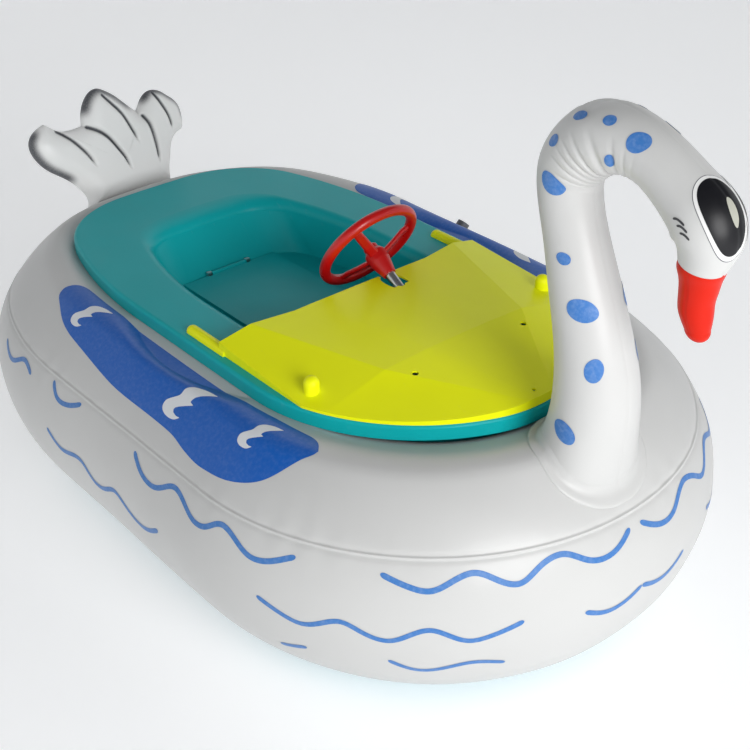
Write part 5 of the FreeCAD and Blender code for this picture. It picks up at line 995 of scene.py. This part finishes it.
# Side panel: lower edge, then upper edge, by place round the ring and height on the section
PANEL_LOW = [
    (3.452, 0.302), (3.462, 0.286), (3.492, 0.272), (3.556, 0.249), (3.600, 0.238), (3.686, 0.224),
    (3.766, 0.212), (3.842, 0.203), (3.936, 0.201), (3.997, 0.201), (4.047, 0.200), (4.085, 0.197),
    (4.117, 0.190), (4.147, 0.185), (4.181, 0.182), (4.215, 0.184), (4.261, 0.189), (4.299, 0.197),
    (4.331, 0.207), (4.363, 0.222), (4.387, 0.240), (4.411, 0.264), (4.443, 0.293), (4.458, 0.306),
    (4.462, 0.315),
]
PANEL_HIGH = [
    (3.452, 0.302), (3.456, 0.323), (3.474, 0.339), (3.514, 0.348), (3.578, 0.350), (3.690, 0.348),
    (3.800, 0.346), (3.914, 0.345), (4.043, 0.345), (4.131, 0.347), (4.187, 0.351), (4.235, 0.357),
    (4.317, 0.358), (4.381, 0.354), (4.419, 0.348), (4.445, 0.335), (4.462, 0.315),
]
# Foam crests on the panel: middle round the ring, middle up the section, size along, size up
CRESTS = [(3.624, 0.294, 0.98, 1.05), (4.056, 0.268, 1.15, 1.26), (4.280, 0.297, 1.0, 1.0)]
# A crest's ribs about its middle, in metres: outer edge along and up, inner edge along and up
CREST_RIBS = [
    (0.011, -0.027, 0.011, -0.027), (0.002, -0.034, 0.001, -0.028), (-0.013, -0.037, -0.010, -0.026),
    (-0.031, -0.035, -0.014, -0.022), (-0.042, -0.028, -0.013, -0.018), (-0.044, -0.019, -0.006, -0.013),
    (-0.037, -0.010, 0.007, -0.006), (-0.027, -0.002, 0.021, 0.001), (-0.022, 0.004, 0.010, 0.003),
    (-0.022, 0.013, 0.010, 0.007), (-0.017, 0.023, 0.013, 0.013), (-0.003, 0.031, 0.021, 0.020),
    (0.017, 0.036, 0.033, 0.028), (0.047, 0.037, 0.047, 0.037),
]


class BOAT_OT_waves(bpy.types.Operator):
    """Prints the wave lines and the side panels on the ring."""

    bl_idname = "boat.waves"
    bl_label = "Waves and panels"

    def execute(self, context):
        scene = context.scene
        skin = RingSkin(scene.boat_ring)
        ink = scene.boat_print
        colours = scene.boat_colours

        def laid(u, v, side, lift):
            """Points of the print on one side of the ring."""
            point, normal = skin.at(u if side > 0 else skin.track.length - u, v)
            return outward(point + normal * lift, normal)

        lines, panels, crests = [], [], []
        share = np.linspace(0, 1, 84)
        for side in (1, -1):
            for wave in WAVES:
                _, path = smooth_through(wave, 24 * len(wave))
                if side < 0:
                    path = path * [-1, 1] + [skin.track.length, 0]
                lines.append(stroke(skin, path, ink.line, ink.lift))
            first, last = PANEL_LOW[0][0], PANEL_LOW[-1][0]
            along = first + (last - first) * (1 - np.cos(np.linspace(0, math.pi, 240))) / 2
            edges = []
            for edge in (PANEL_LOW, PANEL_HIGH):
                _, rows = smooth_through(edge, 600)
                edges.append(np.interp(along, np.maximum.accumulate(rows[:, 0]), rows[:, 1]))
            u, w = np.meshgrid(along, share, indexing="ij")
            v = edges[0][:, None] * (1 - w) + edges[1][:, None] * w
            panels.append(laid(u, v, side, ink.lift))
            ribs = np.array(CREST_RIBS)
            _, outer = smooth_through(ribs[:, :2], 90)
            run = np.r_[0, np.cumsum(np.hypot(*np.diff(ribs[:, :2], axis=0).T))]
            at = np.linspace(0, run[-1], 90)
            inner = np.stack([np.interp(at, run, ribs[:, k]) for k in (2, 3)], 1)
            w = np.linspace(0, 1, 9)[None, :, None]
            shape = outer[:, None] * (1 - w) + inner[:, None] * w
            for u0, v0, wide, tall in CRESTS:
                at_u, at_v = u0 + shape[..., 0] * wide, v0 + shape[..., 1] * tall
                crests.append(laid(at_u, at_v, side, ink.lift * 1.7))
        film("printed_waves", lines, printed("Wave ink", tuple(colours.wave)))
        film("printed_panels", panels, printed("Panel ink", tuple(colours.panel), 0.05))
        film("printed_crests", crests, printed("White ink", (0.74, 0.76, 0.78), 0.0))
        return {"FINISHED"}


# Spots on the neck: place along it, turn about it, half length, half width
SPOTS = [
    (0.659, -2.436, 0.011, 0.009), (0.609, -2.096, 0.013, 0.010), (0.704, -2.399, 0.009, 0.010),
    (0.756, -2.235, 0.015, 0.020), (0.720, -1.265, 0.010, 0.013), (0.548, -1.379, 0.020, 0.026),
    (0.411, -1.253, 0.011, 0.014), (0.317, -0.938, 0.020, 0.029), (0.212, -0.850, 0.021, 0.017),
    (0.091, -1.555, 0.019, 0.027),
]
# Head's own middle line, turned a little to port of the neck's
HEAD_TURN = 0.42
# Eye: place along the neck, turn from the head's middle line, half length and half width
EYE_AT, EYE_OUT, EYE_SIZE = 0.897, 0.668, (0.0385, 0.0362)
# Films of the eye: their growth over that size, and lift as a share of the film's
EYE_FILMS = {"rims": (0.0070, 0.6), "whites": (0.0058, 1.2), "blacks": (0.0, 1.8)}
# First of the three strokes on the cheek, and the step to the next at each of its points
CHEEK_STROKE = [(0.876, -1.50), (0.884, -1.66), (0.895, -1.74)]
CHEEK_STEP = [(0.013, 0), (0.012, 0), (0.010, 0)]


class BOAT_OT_spots(bpy.types.Operator):
    """Prints the spots on the neck and the eyes on the head, and paints a highlight on each eye."""

    bl_idname = "boat.spots"
    bl_label = "Spots and eyes"

    def execute(self, context):
        scene = context.scene
        skin = NeckSkin(scene.boat_neck)
        lift = scene.boat_print.lift
        prints = {"spots": [], "rims": [], "whites": [], "blacks": [], "painted_highlights": []}
        for side in (1, -1):
            for u, v, along, across in SPOTS:
                prints["spots"].append(blot(skin, u, v * side, along, across, 0.45 * side, lift * 1.6, 0.012))
            v = -math.pi - HEAD_TURN + EYE_OUT * side
            for name, (grow, rise) in EYE_FILMS.items():
                size = [half + grow for half in EYE_SIZE]
                prints[name].append(blot(skin, EYE_AT, v, *size, 0.12 * side, lift * rise))
            # Painted highlight: a pale oval on each eye that stands for the reflection of the light
            painted_highlight = blot(skin, EYE_AT + 0.004, v - 0.20 * side, 0.0125, 0.0075, 0.2 * side, lift * 2.6)
            prints["painted_highlights"].append(painted_highlight)
        strokes = []
        for k in range(3):
            path = np.array(CHEEK_STROKE) + k * np.array(CHEEK_STEP)
            for side in (1, -1):
                strokes.append(stroke(skin, smooth_through(path * [1, side], 24)[1], 0.0042, lift))
        film("printed_spots", prints["spots"], printed("Spot ink", tuple(scene.boat_colours.spot), 0.15))
        film("eye_rims", prints["rims"], printed("Grey ink", (0.10, 0.10, 0.12), 0.0))
        film("eye_whites", prints["whites"], printed("Eye white", (0.72, 0.72, 0.71), 0.0))
        film("eye_blacks", prints["blacks"], printed("Black ink", (0.006, 0.006, 0.008), 0.0))
        # Painted highlight film: pale colour in place of the light's reflection on each eye
        film("eye_painted_highlights", prints["painted_highlights"], printed("Painted eye highlight", (0.42, 0.42, 0.36), 0.0))
        film("cheek_strokes", strokes, printed("Cheek ink", (0.05, 0.05, 0.055), 0.0))
        return {"FINISHED"}


# Lamps: place, power in watts and size
LAMPS = {
    "Key": ((4.5, -1.0, 2.0), 140, 2.2),
    "Fill": ((0.6, -3.6, 1.8), 2, 2.6),
    "Rim": ((-1.8, 1.6, 2.8), 8, 1.6),
}
# Floor: flat out to its span, then curving up into a round wall
SPAN, CURVE, RISE = 7.0, 2.5, 4.0


def placed(right, up, back, spot):
    """Matrix of an object from its three axes and its place."""
    columns = np.eye(4)
    columns[:3, 0], columns[:3, 1], columns[:3, 2], columns[:3, 3] = right, up, back, spot
    return Matrix(columns.tolist())


class BOAT_OT_stage(bpy.types.Operator):
    """Sets the camera, the pale floor and soft light."""

    bl_idname = "boat.stage"
    bl_label = "Stage"

    def execute(self, context):
        scene = context.scene
        stage = scene.boat_stage
        az, el, roll = stage.azimuth, stage.elevation, stage.roll
        ahead = np.array([-math.sin(az) * math.cos(el), math.cos(az) * math.cos(el), -math.sin(el)])
        right = np.array([math.cos(az), math.sin(az), 0.0])
        up = np.cross(right, ahead)
        turned_right = right * math.cos(roll) + up * math.sin(roll)
        turned_up = -right * math.sin(roll) + up * math.cos(roll)
        data = bpy.data.cameras.new("Camera")
        data.lens = stage.lens
        data.sensor_width = 36.0
        camera = bpy.data.objects.new("Camera", data)
        camera.matrix_world = placed(turned_right, turned_up, -ahead, tuple(stage.camera))
        scene.collection.objects.link(camera)
        scene.camera = camera

        world = bpy.data.worlds.new("Studio")
        world.use_nodes = True
        sky = world.node_tree.nodes["Background"]
        sky.inputs[0].default_value = (0.90, 0.94, 1.0, 1.0)
        sky.inputs[1].default_value = 0.13
        scene.world = world
        scene.view_settings.view_transform = "Standard"

        for name, (place, power, size) in LAMPS.items():
            lamp = bpy.data.lights.new(name, "AREA")
            lamp.energy = power
            lamp.size = size
            light = bpy.data.objects.new(name, lamp)
            spot = np.array(place)
            towards = unit(np.array([0.0, 0.0, 0.4]) - spot)
            side = unit(np.cross(towards, [0, 0, 1.0]))
            light.matrix_world = placed(side, np.cross(side, towards), -towards, spot)
            scene.collection.objects.link(light)

        bend = np.linspace(0, math.pi / 2, 16)
        out = np.r_[0, SPAN * 0.3, SPAN * 0.7, SPAN + CURVE * np.sin(bend), SPAN + CURVE]
        high = np.r_[0, 0, 0, CURVE * (1 - np.cos(bend)), CURVE + RISE]
        turn = np.linspace(0, TURN, 96, endpoint=False)
        points = np.stack([
            out[:, None] * np.cos(turn), out[:, None] * np.sin(turn), high[:, None] + 0 * turn - 0.0006,
        ], -1)
        mesh = mesh_from("floor", points, grid_faces(*points.shape[:2], False, True))
        finish = Finish("Floor paper")
        glow = {"Emission Color": (1.0, 1.0, 1.0, 1.0), "Emission Strength": 0.34}
        mesh.materials.append(finish.surface((0.86, 0.87, 0.88), finish.noise(6, 2.0) * 0.1 + 0.7, **glow))
        floor = bpy.data.objects.new("floor", mesh)
        scene.collection.objects.link(floor)
        return {"FINISHED"}


class BOAT_PT_panel(bpy.types.Panel):
    """Lists the boat's pieces."""

    bl_idname = "BOAT_PT_panel"
    bl_label = "Bumper boat"
    bl_space_type = "VIEW_3D"
    bl_region_type = "UI"
    bl_category = "Boat"

    def draw(self, context):
        for operator in OPERATORS:
            self.layout.operator(operator.bl_idname)


GROUPS = {
    "boat_ring": RingSettings, "boat_neck": NeckSettings, "boat_tail": TailSettings,
    "boat_print": PrintSettings, "boat_colours": Colours, "boat_stage": StageSettings,
}
OPERATORS = [
    BOAT_OT_finishes, BOAT_OT_ring, BOAT_OT_neck, BOAT_OT_beak, BOAT_OT_tail, BOAT_OT_strap, BOAT_OT_waves,
    BOAT_OT_spots, BOAT_OT_stage,
]


def register():
    for group in GROUPS.values():
        bpy.utils.register_class(group)
    for name, group in GROUPS.items():
        setattr(bpy.types.Scene, name, bpy.props.PointerProperty(type=group))
    for operator in OPERATORS:
        bpy.utils.register_class(operator)
    bpy.utils.register_class(BOAT_PT_panel)


def unregister():
    bpy.utils.unregister_class(BOAT_PT_panel)
    for operator in reversed(OPERATORS):
        bpy.utils.unregister_class(operator)
    for name in GROUPS:
        delattr(bpy.types.Scene, name)
    for group in reversed(list(GROUPS.values())):
        bpy.utils.unregister_class(group)


def main():
    register()
    for operator in OPERATORS:
        group, name = operator.bl_idname.split(".")
        getattr(getattr(bpy.ops, group), name)()


if __name__ == "__main__":
    main()
